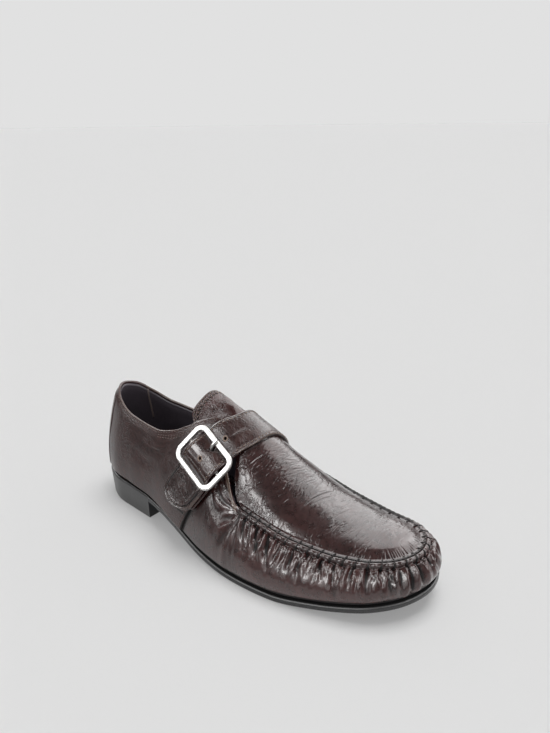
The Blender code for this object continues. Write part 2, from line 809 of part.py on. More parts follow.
def make_bar():
    """The middle bar between the frame's sides."""
    work = bmesh.new()
    length = BUCKLE_WIDE - 2 * BUCKLE_BAR - 2 * GAP
    turn = Matrix.Translation((0, 0, -BAR_DROP * MM)) @ Matrix.Rotation(math.pi / 2, 4, "Y")
    bmesh.ops.create_cone(work, cap_ends=True, segments=14, radius1=PIN * MM, radius2=PIN * MM,
                          depth=length * MM, matrix=turn)
    mesh = bpy.data.meshes.new("buckle_bar")
    work.to_mesh(mesh)
    work.free()
    return mesh


def make_prong():
    """The prong hooks round the middle bar, comes up through the strap and rests on the frame."""
    rest = BUCKLE_THICK / 2 + PRONG + GAP
    loop = PIN + HOOK + GAP
    route = [(loop * math.cos(turn), loop * math.sin(turn) - BAR_DROP, HOOK)
             for turn in np.radians(np.linspace(150, 335, 7))]
    route += [(4.4, -1.8, 0.7), (7.2, -0.9, PRONG), (9.4, 1.3, PRONG), (11.6, rest, PRONG),
              (BUCKLE_LONG / 2 + 0.4, rest, PRONG)]
    curve = bpy.data.curves.new("buckle_prong", "CURVE")
    curve.dimensions = "3D"
    curve.bevel_depth = MM
    curve.bevel_resolution = 2
    curve.use_fill_caps = True
    spline = curve.splines.new("POLY")
    spline.points.add(len(route) - 1)
    for point, (along, up, radius) in zip(spline.points, route):
        point.co = (0.0, along * MM, up * MM, 1.0)
        point.radius = radius
    return curve


def hole_cutter(girth, width):
    """A round cutter standing square on the strap's centre line."""
    at = float(smooth(STRAP, 1, girth))
    step, rise = on_last(np.array(at), np.array(girth))
    normal = Vector(skin_normal(step, rise))
    place = Vector(to_model(skin(step, rise))) + normal * 8.0 * MM
    work = bmesh.new()
    bmesh.ops.create_cone(work, cap_ends=True, segments=12, radius1=width / 2 * MM,
                          radius2=width / 2 * MM, depth=16.0 * MM)
    mesh = bpy.data.meshes.new("strap_hole")
    work.to_mesh(mesh)
    work.free()
    cutter = bpy.data.objects.new("strap_hole", mesh)
    cutter.matrix_world = Matrix.Translation(place) @ normal.to_track_quat("Z", "Y").to_matrix().to_4x4()
    cutter.hide_render = True
    cutter.display_type = "WIRE"
    return cutter


def build():
    clear_scene()
    collection = bpy.data.collections.new("loafer")
    bpy.context.scene.collection.children.link(collection)
    cutters = bpy.data.collections.new("cutters")
    bpy.context.scene.collection.children.link(cutters)

    leather = finish("brown_leather", (0.055, 0.026, 0.022), 0.28)
    overlay = finish("brown_leather_overlay", (0.06, 0.028, 0.024), 0.28)
    strap_leather = finish("strap_leather", (0.06, 0.028, 0.022), 0.26)
    tongue_leather = finish("tongue_leather", (0.055, 0.027, 0.022), 0.32)
    black = finish("sole_rubber", (0.012, 0.012, 0.013), 0.45)
    heel_black = finish("heel_rubber", (0.015, 0.015, 0.016), 0.5)
    board = finish("insole_leather", (0.03, 0.03, 0.045), 0.7)
    steel = finish("polished_steel", (0.75, 0.75, 0.77), 0.12, 1.0)

    add_object("outsole", make_outsole(), black, collection)
    add_object("heel", make_heel(), heel_black, collection)
    add_object("insole", make_insole(), board, collection)
    upper = add_object("upper", make_upper(), leather, collection)
    hollow(upper, WALL)
    add_object("tongue", make_tongue(), tongue_leather, collection)
    add_object("quarter_lateral", make_quarter("quarter_lateral", -1), overlay, collection)
    add_object("quarter_medial", make_quarter("quarter_medial", 1), overlay, collection)
    add_object("heel_counter", make_counter(), overlay, collection)
    strap = add_object("strap", make_strap(), strap_leather, collection)
    for girth, width in STRAP_HOLES:
        cutter = hole_cutter(girth, width)
        cutters.objects.link(cutter)
        cut = strap.modifiers.new("hole", "BOOLEAN")
        cut.operation = "DIFFERENCE"
        cut.solver = "EXACT"
        cut.object = cutter
    add_object("buckle_tab", make_tab(), overlay, collection)
    pose = buckle_pose()
    for name, data in (("buckle_frame", make_frame()), ("buckle_bar", make_bar())):
        add_object(name, data, steel, collection).matrix_world = pose
    curve = make_prong()
    curve.materials.append(steel)
    prong = bpy.data.objects.new("buckle_prong", curve)
    prong.matrix_world = pose
    collection.objects.link(prong)


build()
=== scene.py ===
"""Looks of a monk strap moccasin loafer, right shoe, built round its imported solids.

Sizes are in millimetres on the shoe and become metres where a mesh is made: x runs from
the back of the heel to the toe, y is negative on the outer side, z is the height above
the floor. The leather pieces lie on the last, the smooth form that the shoe is made on.
"""
import math

import bmesh
import bpy
import numpy as np
from mathutils import Matrix, Vector


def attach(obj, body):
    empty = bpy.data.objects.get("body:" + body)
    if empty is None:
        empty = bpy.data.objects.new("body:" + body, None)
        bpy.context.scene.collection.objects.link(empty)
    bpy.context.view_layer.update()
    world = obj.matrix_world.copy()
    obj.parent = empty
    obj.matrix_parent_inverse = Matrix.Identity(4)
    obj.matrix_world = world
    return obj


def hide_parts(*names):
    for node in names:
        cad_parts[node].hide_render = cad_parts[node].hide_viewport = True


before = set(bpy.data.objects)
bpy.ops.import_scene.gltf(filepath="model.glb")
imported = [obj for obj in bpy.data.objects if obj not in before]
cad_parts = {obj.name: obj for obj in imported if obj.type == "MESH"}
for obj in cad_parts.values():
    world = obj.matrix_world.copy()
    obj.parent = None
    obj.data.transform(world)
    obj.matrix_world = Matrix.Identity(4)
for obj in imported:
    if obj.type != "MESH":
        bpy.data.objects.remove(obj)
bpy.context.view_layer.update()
bpy.ops.object.select_all(action="DESELECT")

MM = 0.001
GAP = 0.3                 # clearance between neighbouring pieces
LAY = 0.6                 # overlays above the wall, so that their flats stay clear
REST = 0.45               # the strap above what it lies on

# ---- driving sizes -------------------------------------------------------------------
LENGTH = 300.0            # outsole, heel back to toe
MIDDLE = 152.3            # middle of the whole shoe along its length
SIDE_SHIFT = 1.3          # moves the model so that its box is centred across
SOLE_THICK = 4.0
HEEL_HIGH = 19.6          # heel block with its glue line at the back, up to the outsole
HEEL_LONG = 77.0
HEEL_TAPER = 1.7          # the top lift is smaller than the seat by this all round
WELT_HIGH = 4.2           # the upper bulges out this far above the outsole
TUCK = 3.2                # the upper turns in by this under its bulge
WALL = 2.0                # leather and lining
OVERLAY = 1.2             # quarters lying on the wall
COUNTER = 1.7             # outside counter round the heel
STRAP_THICK = 2.4
TAB_THICK = 1.0
TONGUE_THICK = 2.2
TONGUE_UNDER = 3.0        # its edges lie this far under the wall's outer face
BUCKLE_WIDE = 43.0        # across the strap
BUCKLE_LONG = 32.0        # along the strap
BUCKLE_BAR = 4.0
BUCKLE_THICK = 3.0
BUCKLE_CORNER = 8.0

# outsole half breadths, as seen from above
SOLE = (
    # at, lateral, medial
    (12.5, -17.0, 20.0),
    (30, -28.0, 31.0),
    (54, -32.0, 33.0),
    (76, -34.5, 31.5),
    (99, -38.5, 30.0),
    (121, -43.5, 31.5),
    (144, -48.5, 36.0),
    (166, -52.5, 42.5),
    (189, -54.0, 48.5),
    (211, -53.0, 51.5),
    (233, -49.0, 50.5),
    (256, -42.5, 46.5),
    (277, -33.0, 41.5),
    (293, -17.0, 29.0),
)
HEEL_POINT = (5.0, 1.5)
TOE_POINT = (LENGTH, 5.0)

# underside of the outsole, and how far the upper stands inside the outsole's edge
PROFILE = (
    # at, underside, inset
    (0, HEEL_HIGH, 1.9),
    (30, 18.4, 1.8),
    (HEEL_LONG, 16.0, 1.2),
    (110, 10.4, -0.3),
    (150, 1.5, 0.0),
    (180, 0.0, 0.4),
    (212, 0.0, 0.4),
    (245, 3.6, 0.4),
    (LENGTH, 12.5, 0.4),
)

# ridge of the last: where the two sides of a section meet, and how full the section is
SPINE = (
    # at, height, side, fullness
    (0, 121.0, -1.2, 1.80),
    (38, 115.0, 0.0, 1.22),
    (80, 111.5, 1.6, 1.20),
    (110, 108.5, 3.3, 1.26),
    (135, 101.5, 4.8, 1.33),
    (160, 88.8, 5.8, 1.48),
    (190, 70.0, 6.0, 1.68),
    (220, 53.5, 5.8, 1.95),
    (250, 45.0, 5.6, 2.30),
    (LENGTH, 41.5, 5.6, 2.75),
)
FAN_HEEL = 36.0           # sections turn round these two places on the ridge
FAN_TOE = 260.0
FAN_SOFT = 14.0
ROUNDNESS = 2.0
BULGE = 0.09

# top edge of the walls, as heights, from the heel to the start of the raised seam
COLLAR = (
    # at, lateral, medial
    (0, 95.6, 95.2),
    (9, 94.0, 92.5),
    (26, 86.8, 84.2),
    (50, 79.0, 77.3),
    (80, 76.3, 76.3),
    (100, 81.0, 82.0),
    (113, 87.2, 88.5),
    (124, 92.9, 92.5),
    (134, 95.6, 92.5),
    (142, 92.0, 88.0),
    (150, 81.5, 80.0),
    (157, 69.0, 72.5),
    (163, 61.5, 68.0),
    (170, 55.5, 63.0),
    (180, 48.8, 57.0),
)
SEAM_START = 177.0

# raised seam: share of the way from the ridge of the last out to the feather edge
SEAM = (
    # at, lateral, medial
    (SEAM_START, 0.735, 0.69),
    (205, 0.720, 0.70),
    (232, 0.705, 0.71),
    (255, 0.705, 0.72),
    (277, 0.710, 0.735),
    (LENGTH, 0.725, 0.725),
)

# front edge of the quarters: share of the way up the wall, place along the shoe
QUARTER_FRONT = (
    # up, at
    (0.0, 124.5),
    (0.15, 130.0),
    (0.37, 139.5),
    (0.52, 145.5),
    (0.75, 152.0),
    (1.0, 157.0),
)
COUNTER_EDGE = 20.0

# centre line of the strap on the last; girth is measured from the ridge, lateral negative
STRAP = (
    # girth, at, width
    (-78.0, 124.2, 32.0),
    (-64.0, 132.4, 31.5),
    (-45.0, 141.0, 31.0),
    (-28.0, 147.8, 29.5),
    (-6.0, 156.2, 26.5),
    (20.0, 158.5, 25.5),
    (50.0, 150.0, 27.0),
    (82.0, 138.0, 30.0),
)
STRAP_HOLES = (
    # girth, width; the prong stretches the middle one
    (-26.7, 3.0),
    (-37.2, 4.2),
    (-46.7, 3.0),
)
BUCKLE_AT = (-45.5, 140.5)
BUCKLE_TURN = -24.0       # degrees, from straight down the side towards the toe
BUCKLE_TILT = -5.0        # degrees, the upper end lies nearer to the instep
BUCKLE_LIFT = 7.25        # middle plane of the frame above the last
BAR_DROP = 1.6            # the middle bar lies below the middle plane
PIN = 1.4                 # radius of the middle bar
PRONG = 1.1               # radius of the prong's stem
HOOK = 0.55               # radius of the prong where it hooks round the bar
HUMP_RISE = 6.0           # the strap climbs this much over the middle bar
TIP_LONG = 14.5           # length of the strap's round tip
TAB_WIDER = 1.2           # the tab shows this far round the tip
TAB_END = BUCKLE_AT[0] - 8.0

# the tongue's back edge, and how far its middle is lifted along its length
TONGUE_EDGE = (
    # girth, at
    (-34.0, 119.0),
    (-30.0, 114.0),
    (-24.0, 111.8),
    (-12.0, 113.8),
    (0.0, 115.3),
    (12.0, 118.5),
    (20.0, 123.0),
    (25.0, 129.0),
)
TONGUE_END = 155.2
TONGUE_LIFT = (
    # at, lift
    (112.0, 3.6),
    (126.0, 3.3),
    (137.0, 2.8),
    (147.0, 1.2),
    (TONGUE_END, 0.4),
)
LIFT_CLEAR = (1.0, 15.0)  # the lift grows between these distances from the wall's top edge

# ---- small tools ---------------------------------------------------------------------


def column(table, which):
    """One column of a table as an array."""
    return np.array([row[which] for row in table], float)


def smooth(table, which, at):
    """Read a table's column as a smooth curve that never overshoots its rows."""
    xs, ys = column(table, 0), column(table, which)
    at = np.clip(np.asarray(at, float), xs[0], xs[-1])
    step = np.diff(xs)
    slope = np.diff(ys) / step
    left, right = slope[:-1], slope[1:]
    same = left * right > 0
    safe = np.where(same, left + right, 1.0)
    tangent = np.concatenate([[slope[0]], np.where(same, 2 * left * right / safe, 0.0), [slope[-1]]])
    span = np.clip(np.searchsorted(xs, at, side="right") - 1, 0, len(step) - 1)
    t = (at - xs[span]) / step[span]
    rise = ys[span + 1] - ys[span]
    start = tangent[span] * step[span]
    end = tangent[span + 1] * step[span]
    return ys[span] + start * t + (3 * rise - 2 * start - end) * t**2 + (start + end - 2 * rise) * t**3


def ease(value, low, high):
    """0 below low, 1 above high, and a soft step between."""
    t = np.clip((np.asarray(value, float) - low) / (high - low), 0, 1)
    return t * t * (3 - 2 * t)


def bell(value, middle, wide):
    """1 in the middle, falling off softly on both sides."""
    return np.exp(-((value - middle) / wide) ** 2)


def unit(vectors):
    """The same directions with a length of 1."""
    return vectors / np.linalg.norm(vectors, axis=-1)[..., None]


def closed_curve(points, per_span=40):
    """A smooth closed curve through points, as many short steps."""
    here = np.array(points, float)
    after = np.roll(here, -1, 0)
    length = np.linalg.norm(after - here, axis=1)[:, None]
    ahead = (after - here) / length
    behind = np.roll(ahead, 1, 0)
    before = np.roll(length, 1, 0)
    tangent = (length * behind + before * ahead) / (length + before)
    tangent_after = np.roll(tangent, -1, 0)
    t = np.linspace(0, 1, per_span, endpoint=False)[None, :, None]
    span = length[:, None]
    curve = ((2 * t**3 - 3 * t**2 + 1) * here[:, None] + (t**3 - 2 * t**2 + t) * span * tangent[:, None]
             + (3 * t**2 - 2 * t**3) * after[:, None] + (t**3 - t**2) * span * tangent_after[:, None])
    return curve.reshape(-1, 2)


def inward(curve):
    """Unit directions pointing into a closed curve that runs lateral side first."""
    along = unit(np.roll(curve, -1, 0) - np.roll(curve, 1, 0))
    return np.stack([-along[:, 1], along[:, 0]], -1)


# ---- the last ------------------------------------------------------------------------

lateral_side = [(at, lateral) for at, lateral, medial in SOLE]
medial_side = [(at, medial) for at, lateral, medial in reversed(SOLE)]
EDGE = closed_curve([HEEL_POINT] + lateral_side + [TOE_POINT] + medial_side)
FEATHER = EDGE + inward(EDGE) * smooth(PROFILE, 2, EDGE[:, 0])[:, None]
STEPS = len(FEATHER)
TOE_STEP = int(FEATHER[:, 0].argmax())
HEEL_STEP = int(FEATHER[:, 0].argmin())


def sole_top(at):
    """Height of the outsole's upper face."""
    return smooth(PROFILE, 1, at) + SOLE_THICK


def around(step, curve):
    """A point on a closed curve at a fractional step."""
    low = np.floor(step).astype(int)
    share = (step - low)[..., None]
    return curve[low % STEPS] * (1 - share) + curve[(low + 1) % STEPS] * share


def step_at(at, side, curve=FEATHER):
    """The step round the curve that lies at a place along the shoe, on one side."""
    heel, toe = (int(curve[:, 0].argmin()), int(curve[:, 0].argmax()))
    if side < 0:
        steps = np.arange(heel if heel <= toe else heel - STEPS, toe + 1)
        return np.interp(at, curve[steps % STEPS, 0], steps)
    steps = np.arange(toe, (heel if heel > toe else heel + STEPS) + 1)[::-1]
    return np.interp(at, curve[steps % STEPS, 0], steps)


def skin(step, rise):
    """The last's surface: step runs round the feather edge, rise from 0 there to 1 on the ridge."""
    step = np.asarray(step, float)
    rise = np.clip(np.asarray(rise, float), 0.0, 1.0)
    foot = around(step, FEATHER)
    at = foot[..., 0]
    ridge_at = FAN_HEEL + FAN_SOFT * np.logaddexp(0, (at - FAN_HEEL) / FAN_SOFT)
    ridge_at = FAN_TOE - FAN_SOFT * np.logaddexp(0, (FAN_TOE - ridge_at) / FAN_SOFT)
    ridge = np.stack([ridge_at, smooth(SPINE, 2, ridge_at)], -1)
    low = sole_top(at) + WELT_HIGH
    high = smooth(SPINE, 1, ridge_at)
    up = np.sin(rise * math.pi / 2) ** (2 / smooth(SPINE, 3, at))
    out = np.cos(rise * math.pi / 2) ** (2 / ROUNDNESS)
    out = out + BULGE * 4 * up * (1 - up) * np.exp(-3 * up)
    plan = ridge + (foot - ridge) * out[..., None]
    return np.concatenate([plan, (low + (high - low) * up)[..., None]], -1)


def skin_normal(step, rise):
    """Outward unit normal of the last's surface."""
    step = np.asarray(step, float)
    rise = np.clip(rise, 0.01, 0.97)
    across = skin(step + 1.5, rise) - skin(step - 1.5, rise)
    upward = skin(step, rise + 0.01) - skin(step, rise - 0.01)
    return unit(np.cross(across, upward))


def rise_at_reach(reach):
    """The rise at which a fibre lies a share of the way out from the ridge."""
    return np.arccos(np.clip(reach, 0, 1) ** (ROUNDNESS / 2)) * 2 / math.pi


# a fibre runs straight up the last's surface from each step of the feather edge to the ridge
ROWS = np.arange(STEPS + 1)
RISES = np.linspace(0, 1, 161)
FIBRES = skin(ROWS[:, None] + 0 * RISES[None], RISES[None] + 0.0 * ROWS[:, None])
LENGTHS = np.cumsum(np.linalg.norm(np.diff(FIBRES, axis=1), axis=2), axis=1)
LENGTHS = np.concatenate([np.zeros((STEPS + 1, 1)), LENGTHS], 1)
FULL = LENGTHS[:, -1]
SHARES = np.linspace(0, 1, 601)
RISE_AT_SHARE = np.array([np.interp(SHARES, row / row[-1], RISES) for row in LENGTHS])


def look_up(table, step, column):
    """Read a table at fractional steps and columns."""
    step = np.mod(step, STEPS)
    row = np.clip(np.floor(step).astype(int), 0, STEPS - 1)
    column = np.clip(column, 0, table.shape[1] - 1.000001)
    col = np.floor(column).astype(int)
    up, across = step - row, column - col
    low = table[row, col] * (1 - across) + table[row, col + 1] * across
    high = table[row + 1, col] * (1 - across) + table[row + 1, col + 1] * across
    return low * (1 - up) + high * up


def full_length(step):
    """Length of the whole fibre from the feather edge to the ridge."""
    return np.interp(np.mod(step, STEPS), ROWS, FULL)


def rise_for(step, length):
    """The rise at a length up the fibre from the feather edge."""
    return look_up(RISE_AT_SHARE, step, np.clip(length / full_length(step), 0, 1) * (len(SHARES) - 1))


def length_for(step, rise):
    """The length up the fibre from the feather edge at a rise."""
    return look_up(LENGTHS, step, np.clip(rise, 0, 1) * (len(RISES) - 1))


def on_last(at, girth):
    """Step and rise for places along the shoe and girths from the ridge, lateral negative."""
    at, girth = np.broadcast_arrays(np.asarray(at, float), np.asarray(girth, float))
    step = np.where(girth < 0, step_at(at, -1), step_at(at, 1))
    return step, rise_for(step, full_length(step) - np.abs(girth))


def wall_top(step):
    """Length up the fibre from the feather edge to the wall's top edge."""
    return np.interp(np.mod(step, STEPS), ROWS, TOP)


def top_rises(rows, side):
    """The rise of the wall's top edge: the collar and throat, then the raised seam."""
    at = around(rows, FEATHER)[..., 0]
    which = 1 if side < 0 else 2
    height = smooth(COLLAR, which, at)
    collar = np.array([np.interp(h, row, RISES) for h, row in zip(height, FIBRES[rows, :, 2])])
    seam = rise_at_reach(smooth(SEAM, which, at))
    share = ease(at, SEAM_START - 9, SEAM_START - 1)
    return collar * (1 - share) + seam * share


side_of = np.where((ROWS >= HEEL_STEP) & (ROWS <= TOE_STEP), -1, 1)
TOP = np.zeros(STEPS + 1)
for side in (-1, 1):
    here = side_of == side
    TOP[here] = length_for(ROWS[here], top_rises(ROWS[here], side))
# the two sides meet softly at the heel
near_heel = np.arange(HEEL_STEP - 30, HEEL_STEP + 31)
TOP[near_heel % STEPS] = [np.mean(TOP[(step + np.arange(-16, 17)) % STEPS]) for step in near_heel]
TOP[STEPS] = TOP[0]


def place(step, rise, level):
    """Points above the last's surface."""
    return skin(step, rise) + skin_normal(step, rise) * np.asarray(level, float)[..., None]


def laid(step, length, level):
    """Points at lengths up the fibres from the feather edge, and at levels above the last."""
    step, length, level = np.broadcast_arrays(step, length, level)
    return place(step, rise_for(step, length), level)


# ---- making meshes -------------------------------------------------------------------


def to_model(points):
    """From millimetres on the shoe to metres in the model."""
    return (np.asarray(points, float) + np.array([-MIDDLE, SIDE_SHIFT, 0.0])) * MM


def waves(points, size, seed, count=7):
    """Soft unevenness: a few crossing waves of about one size, between -1 and 1."""
    dice = np.random.default_rng(seed)
    total = 0.0
    for _ in range(count):
        way = dice.normal(size=3)
        way *= 2 * math.pi / (np.linalg.norm(way) * size * dice.uniform(0.7, 1.5))
        total = total + np.sin(points @ way + dice.uniform(0, 2 * math.pi))
    return total / count ** 0.5 / 1.6


def make_mesh(name, points, faces, shade_and_edge_mark=None):
    """An object from points in shoe millimetres, smooth shaded, faces pointing outward."""
    mesh = bpy.data.meshes.new(name)
    mesh.from_pydata(to_model(points).tolist(), [], faces)
    # the mark paints shade into the colour below 0, in creases, grooves, holes and beside other pieces,
    # and bare leather's colour above 2, on raw edges and as painted highlights on rims
    if shade_and_edge_mark is not None:
        mesh.attributes.new("shade_and_edge_mark", "FLOAT", "POINT").data.foreach_set("value", np.ravel(shade_and_edge_mark))
    work = bmesh.new()
    work.from_mesh(mesh)
    bmesh.ops.remove_doubles(work, verts=work.verts, dist=0.000004)
    bmesh.ops.recalc_face_normals(work, faces=work.faces)
    work.to_mesh(mesh)
    work.free()
    mesh.shade_smooth()
    thing = bpy.data.objects.new(name, mesh)
    bpy.context.collection.objects.link(thing)
    return thing


def ring_faces(count, loop):
    """Numbers of the points in a row of closed loops, and the quads between the loops."""
    index = np.arange(count * loop).reshape(count, loop)
    after = np.roll(index, -1, 1)
    quads = np.stack([index[:-1], after[:-1], after[1:], index[1:]], -1)
    return index, quads.reshape(-1, 4).tolist()


def loft(name, rings, shade_and_edge_mark=None):
    """A closed piece through a row of closed loops, with its two ends filled."""
    index, faces = ring_faces(*rings.shape[:2])
    faces += [index[0].tolist(), index[-1][::-1].tolist()]
    return make_mesh(name, rings.reshape(-1, 3), faces, shade_and_edge_mark)


def sheet(name, upper, lower, shade_and_edge_mark=None):
    """A closed sheet between two grids; each row of the grids becomes a loop."""
    if shade_and_edge_mark is not None:
        shade_and_edge_mark = np.concatenate([shade_and_edge_mark, 0 * lower[..., 0]], 1)
    return loft(name, np.concatenate([upper, lower[:, ::-1]], 1), shade_and_edge_mark)


def tube(name, middle, normal, wide, high, count):
    """A closed piece round a line that lies on a surface."""
    side = unit(np.cross(normal, np.gradient(middle, axis=0)))
    turn = np.arange(count)[:, None] * math.pi / (count / 2)
    beside = side[:, None] * wide * np.cos(turn)
    above = normal[:, None] * high * np.sin(turn)
    return loft(name, middle[:, None] + beside + above)


def arc_length(line):
    """Length along a line, for each of its points."""
    return np.concatenate([[0], np.cumsum(np.linalg.norm(np.diff(line, axis=0), axis=1))])


def stations(first, last, count, curve):
    """Places along the shoe, evenly spaced round the lateral edge."""
    start, end = step_at(first, -1, curve), step_at(last, -1, curve)
    fine = np.linspace(start, end, 900)
    length = arc_length(around(fine, curve))
    even = np.interp(np.linspace(0, length[-1], count + 1), length, fine)
    return around(even, curve)[:, 0]


# ---- upper ---------------------------------------------------------------------------

# height of the leather across the hand-sewn seam, by distance outward from the apron's edge line
SEAM_PROFILE = (
    # distance, apron, mudguard
    (-9.0, 0.0, 0.0),
    (-4.5, -0.35, 0.0),
    (-2.2, -0.55, -1.2),
    (-1.0, -0.1, -1.5),
    (0.0, 1.0, -1.5),
    (0.6, 1.45, -0.9),
    (1.1, 0.9, 0.9),
    (1.7, -1.5, 1.9),
    (2.6, -1.6, 2.3),
    (3.5, -1.6, 2.1),
    (4.3, -1.6, 1.2),
    (4.9, -1.6, 0.2),
    (5.4, -1.6, -0.1),
    (6.4, -1.6, 0.6),
    (9.0, -1.6, 0.9),
    (15.0, -1.6, 0.5),
    (24.0, 0.0, 0.0),
)
STITCH = 8.0              # pitch of the hand-sewn seam
HOLE_LINE = 5.1           # distance of its holes from the apron's edge line
MUDGUARD_BACK = 116.0     # the mudguard reaches back to here under the quarters
APRON_BACK = 150.0        # the apron reaches back to here under the strap
APRON_THICK = 1.5
APRON_TRIM = 0.9          # its edge is cut back by this along the seam
UNDER_SHADE = -2.0        # painted shade on the leather turned in under the last
GATHER_CORNER = 181.0     # the fan of soft folds starts from this place on the seam

# the gathers under the seam: deep ones, and finer ones between them
PLEATS = (
    # seed, pitch, depths, reaches, width
    (11, 4.0, (1.1, 2.7), (14, 34), 0.95),
    (12, 2.4, (0.2, 0.8), (10, 36), 0.6),
)

# how far the apron's free edge stands above the wall's top edge, and how far below it the
# mudguard's raw edge starts
THROAT = (
    # at, apron edge above, mudguard edge below
    (150.0, 22.0, -0.5),
    (156.0, 16.0, -0.5),
    (162.7, 10.2, -0.5),
    (164.4, 6.9, 0.2),
    (167.2, 4.2, 1.4),
    (169.5, 1.6, 1.8),
    (173.0, 0.6, 1.8),
    (178.0, 0.2, 0.7),
    (190.0, 0.0, 0.7),
)


def seam_arc(steps):
    """Distance along the seam's line for each step, zero at the toe."""
    fine = np.linspace(steps[0], steps[-1], 2500)
    line = skin(fine, rise_for(fine, wall_top(fine) - 3.0))
    arc = arc_length(line)
    middle = np.interp(TOE_STEP, fine, arc)
    return np.interp(steps, fine, arc) - middle


def pleats(arc, away, at):
    """Gathers fanning out from the seam: sharp creases of uneven length between rounded folds."""
    total = np.zeros_like(arc + away)
    for seed, pitch, depths, reaches, thin in PLEATS:
        dice = np.random.default_rng(seed)
        middle = arc.min()
        while middle < arc.max():
            depth = dice.uniform(*depths)
            reach = dice.uniform(*reaches)
            lean = dice.uniform(-0.25, 0.25)
            wide = thin * dice.uniform(0.75, 1.15)
            curl = dice.uniform(-1.2, 1.2)
            centre = middle + lean * (away - HOLE_LINE) + curl * np.sin(away / 5.0)
            off = np.abs(arc - centre) / (wide * (1 + 0.035 * away))
            fade = ease(away, 4.2, 6.0) * (1 - ease(away, 0.25 * reach, reach))
            total -= depth * np.exp(-off ** 1.2) * fade
            total += 0.5 * depth * bell(off, 2.3, 1.1) * fade
            middle += pitch * dice.uniform(0.6, 1.4)
    return total * ease(at, SEAM_START - 8, SEAM_START + 4)


def stitched_ridge(arc, away):
    """Pits where the hand stitches go in, and the lumps that they press into the ridge."""
    phase = np.mod(arc + STITCH / 2, STITCH) - STITCH / 2
    pit = -1.5 * np.exp(-(phase / 0.85) ** 2 - ((away - HOLE_LINE) / 0.8) ** 2)
    pinch = -0.8 * bell(phase, 0, 0.9) * bell(away, 3.2, 1.6)
    return (pit + pinch + lumps(arc) * bell(away, 2.6, 1.5)) * (1 - 0.6 * ease(arc, 25, 60))


def lumps(arc):
    """The seam's edge is knobbly between stitches, twice to each stitch."""
    return 0.3 * (np.cos(arc * 4 * math.pi / STITCH + 0.9 * np.sin(arc / 13.0)) - 0.3)


def gathers(at, away):
    """Soft folds on the outer side that fan out from the corner where the seam starts."""
    back, down = GATHER_CORNER - at, away + 1.0
    far = np.hypot(back, down)
    turn = np.arctan2(down, back)
    fan = np.cos(21 * turn + 0.4 + far / 14.0) + 0.6 * np.cos(36 * turn + 1.1 - far / 9.0)
    fade = 0.4 * (fan - 0.4) * ease(far, 5, 15) * (1 - ease(far, 32, 58))
    return fade * ease(back, -2, 5) * ease(turn, 0.15, 0.4)


def round_heel(end, count):
    """Steps from the inner side round the heel to the outer side, between equal places."""
    return np.linspace(step_at(end, 1) - STEPS, step_at(end, -1), count)


def lasted_edge(steps, deep):
    """The bottom of a wall, turned in under the last by a depth."""
    at = around(steps, FEATHER)[:, 0][:, None]
    share = np.linspace(0, 1, 7)[1:]
    foot, turned = around(steps, FEATHER), around(steps, inward(FEATHER))
    plan = foot[:, None] + turned[:, None] * (deep * share ** 1.4)[None, :, None]
    height = sole_top(at) + GAP + (WELT_HIGH - GAP) * ((1 - share) ** 1.2)[None]
    return np.concatenate([plan, height[..., None]], -1)


def make_mudguard():
    """The side wall round the front of the shoe, gathered under its raised seam."""
    fine = np.linspace(step_at(MUDGUARD_BACK, -1), step_at(MUDGUARD_BACK, 1), 2500)
    arc_fine = seam_arc(fine)
    steps = np.interp(np.linspace(arc_fine[0], arc_fine[-1], 800), arc_fine, fine)
    arc = seam_arc(steps)[:, None]
    at = around(steps, FEATHER)[:, 0][:, None]
    top = wall_top(steps)[:, None]
    start = smooth(THROAT, 2, at)
    away = start + (top - start) * np.linspace(0, 1, 66)[None] ** 1.3
    grid = steps[:, None] + 0 * away
    rise = rise_for(grid, top - away)
    sewn = ease(at, SEAM_START - 5, SEAM_START + 5)
    relief = (pleats(arc, away, at) + stitched_ridge(arc, away)) * sewn
    relief = relief + gathers(at, away) * (arc < 0)
    soft = 0.22 * waves(place(grid, rise, 0.0), 14.0, 3) * ease(away, 3, 9)
    flap = 1.0 * (1 - ease(away - start, 0.0, 3.0)) * ease(at, 152, 158) * (1 - ease(at, 171, 177))
    level = smooth(SEAM_PROFILE, 2, away) * sewn + relief + soft + flap
    outer = place(grid, rise, level)
    tucked = lasted_edge(steps, TUCK)
    inner = place(grid[:, ::6], rise[:, ::6], -WALL)[:, ::-1]
    # the mark for the colour: the raw edge; painted shadow beside the quarter's front edge; painted shade
    # along the seam, in the pleats' troughs and on the outer side behind the seam's start
    raw = 3.0 * (away - start < 3.6) * ease(at, 153, 154) * (1 - ease(at, 174.5, 175.5))
    gap = at - smooth(QUARTER_FRONT, 1, 1 - away / top)
    # painted shadow: a dark line on the mudguard beside the quarter's front edge
    quarter_shadow = -1.3 * bell(gap, 0.5, 0.7) - 0.4 * bell(gap, 1.0, 2.0)
    # painted shade along the seam, stronger on the far side
    seam = -(0.3 + 0.65 * ease(arc, 25, 60)) * np.exp(-((away - 2.0) / 2.8) ** 4) * sewn
    # painted shade: darker and duller on the outer side behind the seam's start
    outer_shade = -0.3 * (1 - ease(at, 176, 196)) * (arc < 0)
    # painted shade: the pleats' troughs are darkened by their depth
    shade = np.where(relief < 0, -(relief / 1.15) ** 2, np.minimum(1.1 * relief, 1.0))
    face = shade + raw + (quarter_shadow + seam + outer_shade) * (raw == 0)
    shade_and_edge_mark = np.concatenate([face, np.full(tucked.shape[:2], UNDER_SHADE), 0 * inner[..., 0]], 1)
    return loft("mudguard", np.concatenate([outer, tucked, inner], 1), shade_and_edge_mark)


ARC_STEPS = np.linspace(step_at(130.0, -1), step_at(130.0, 1), 2500)
ARC = seam_arc(ARC_STEPS)


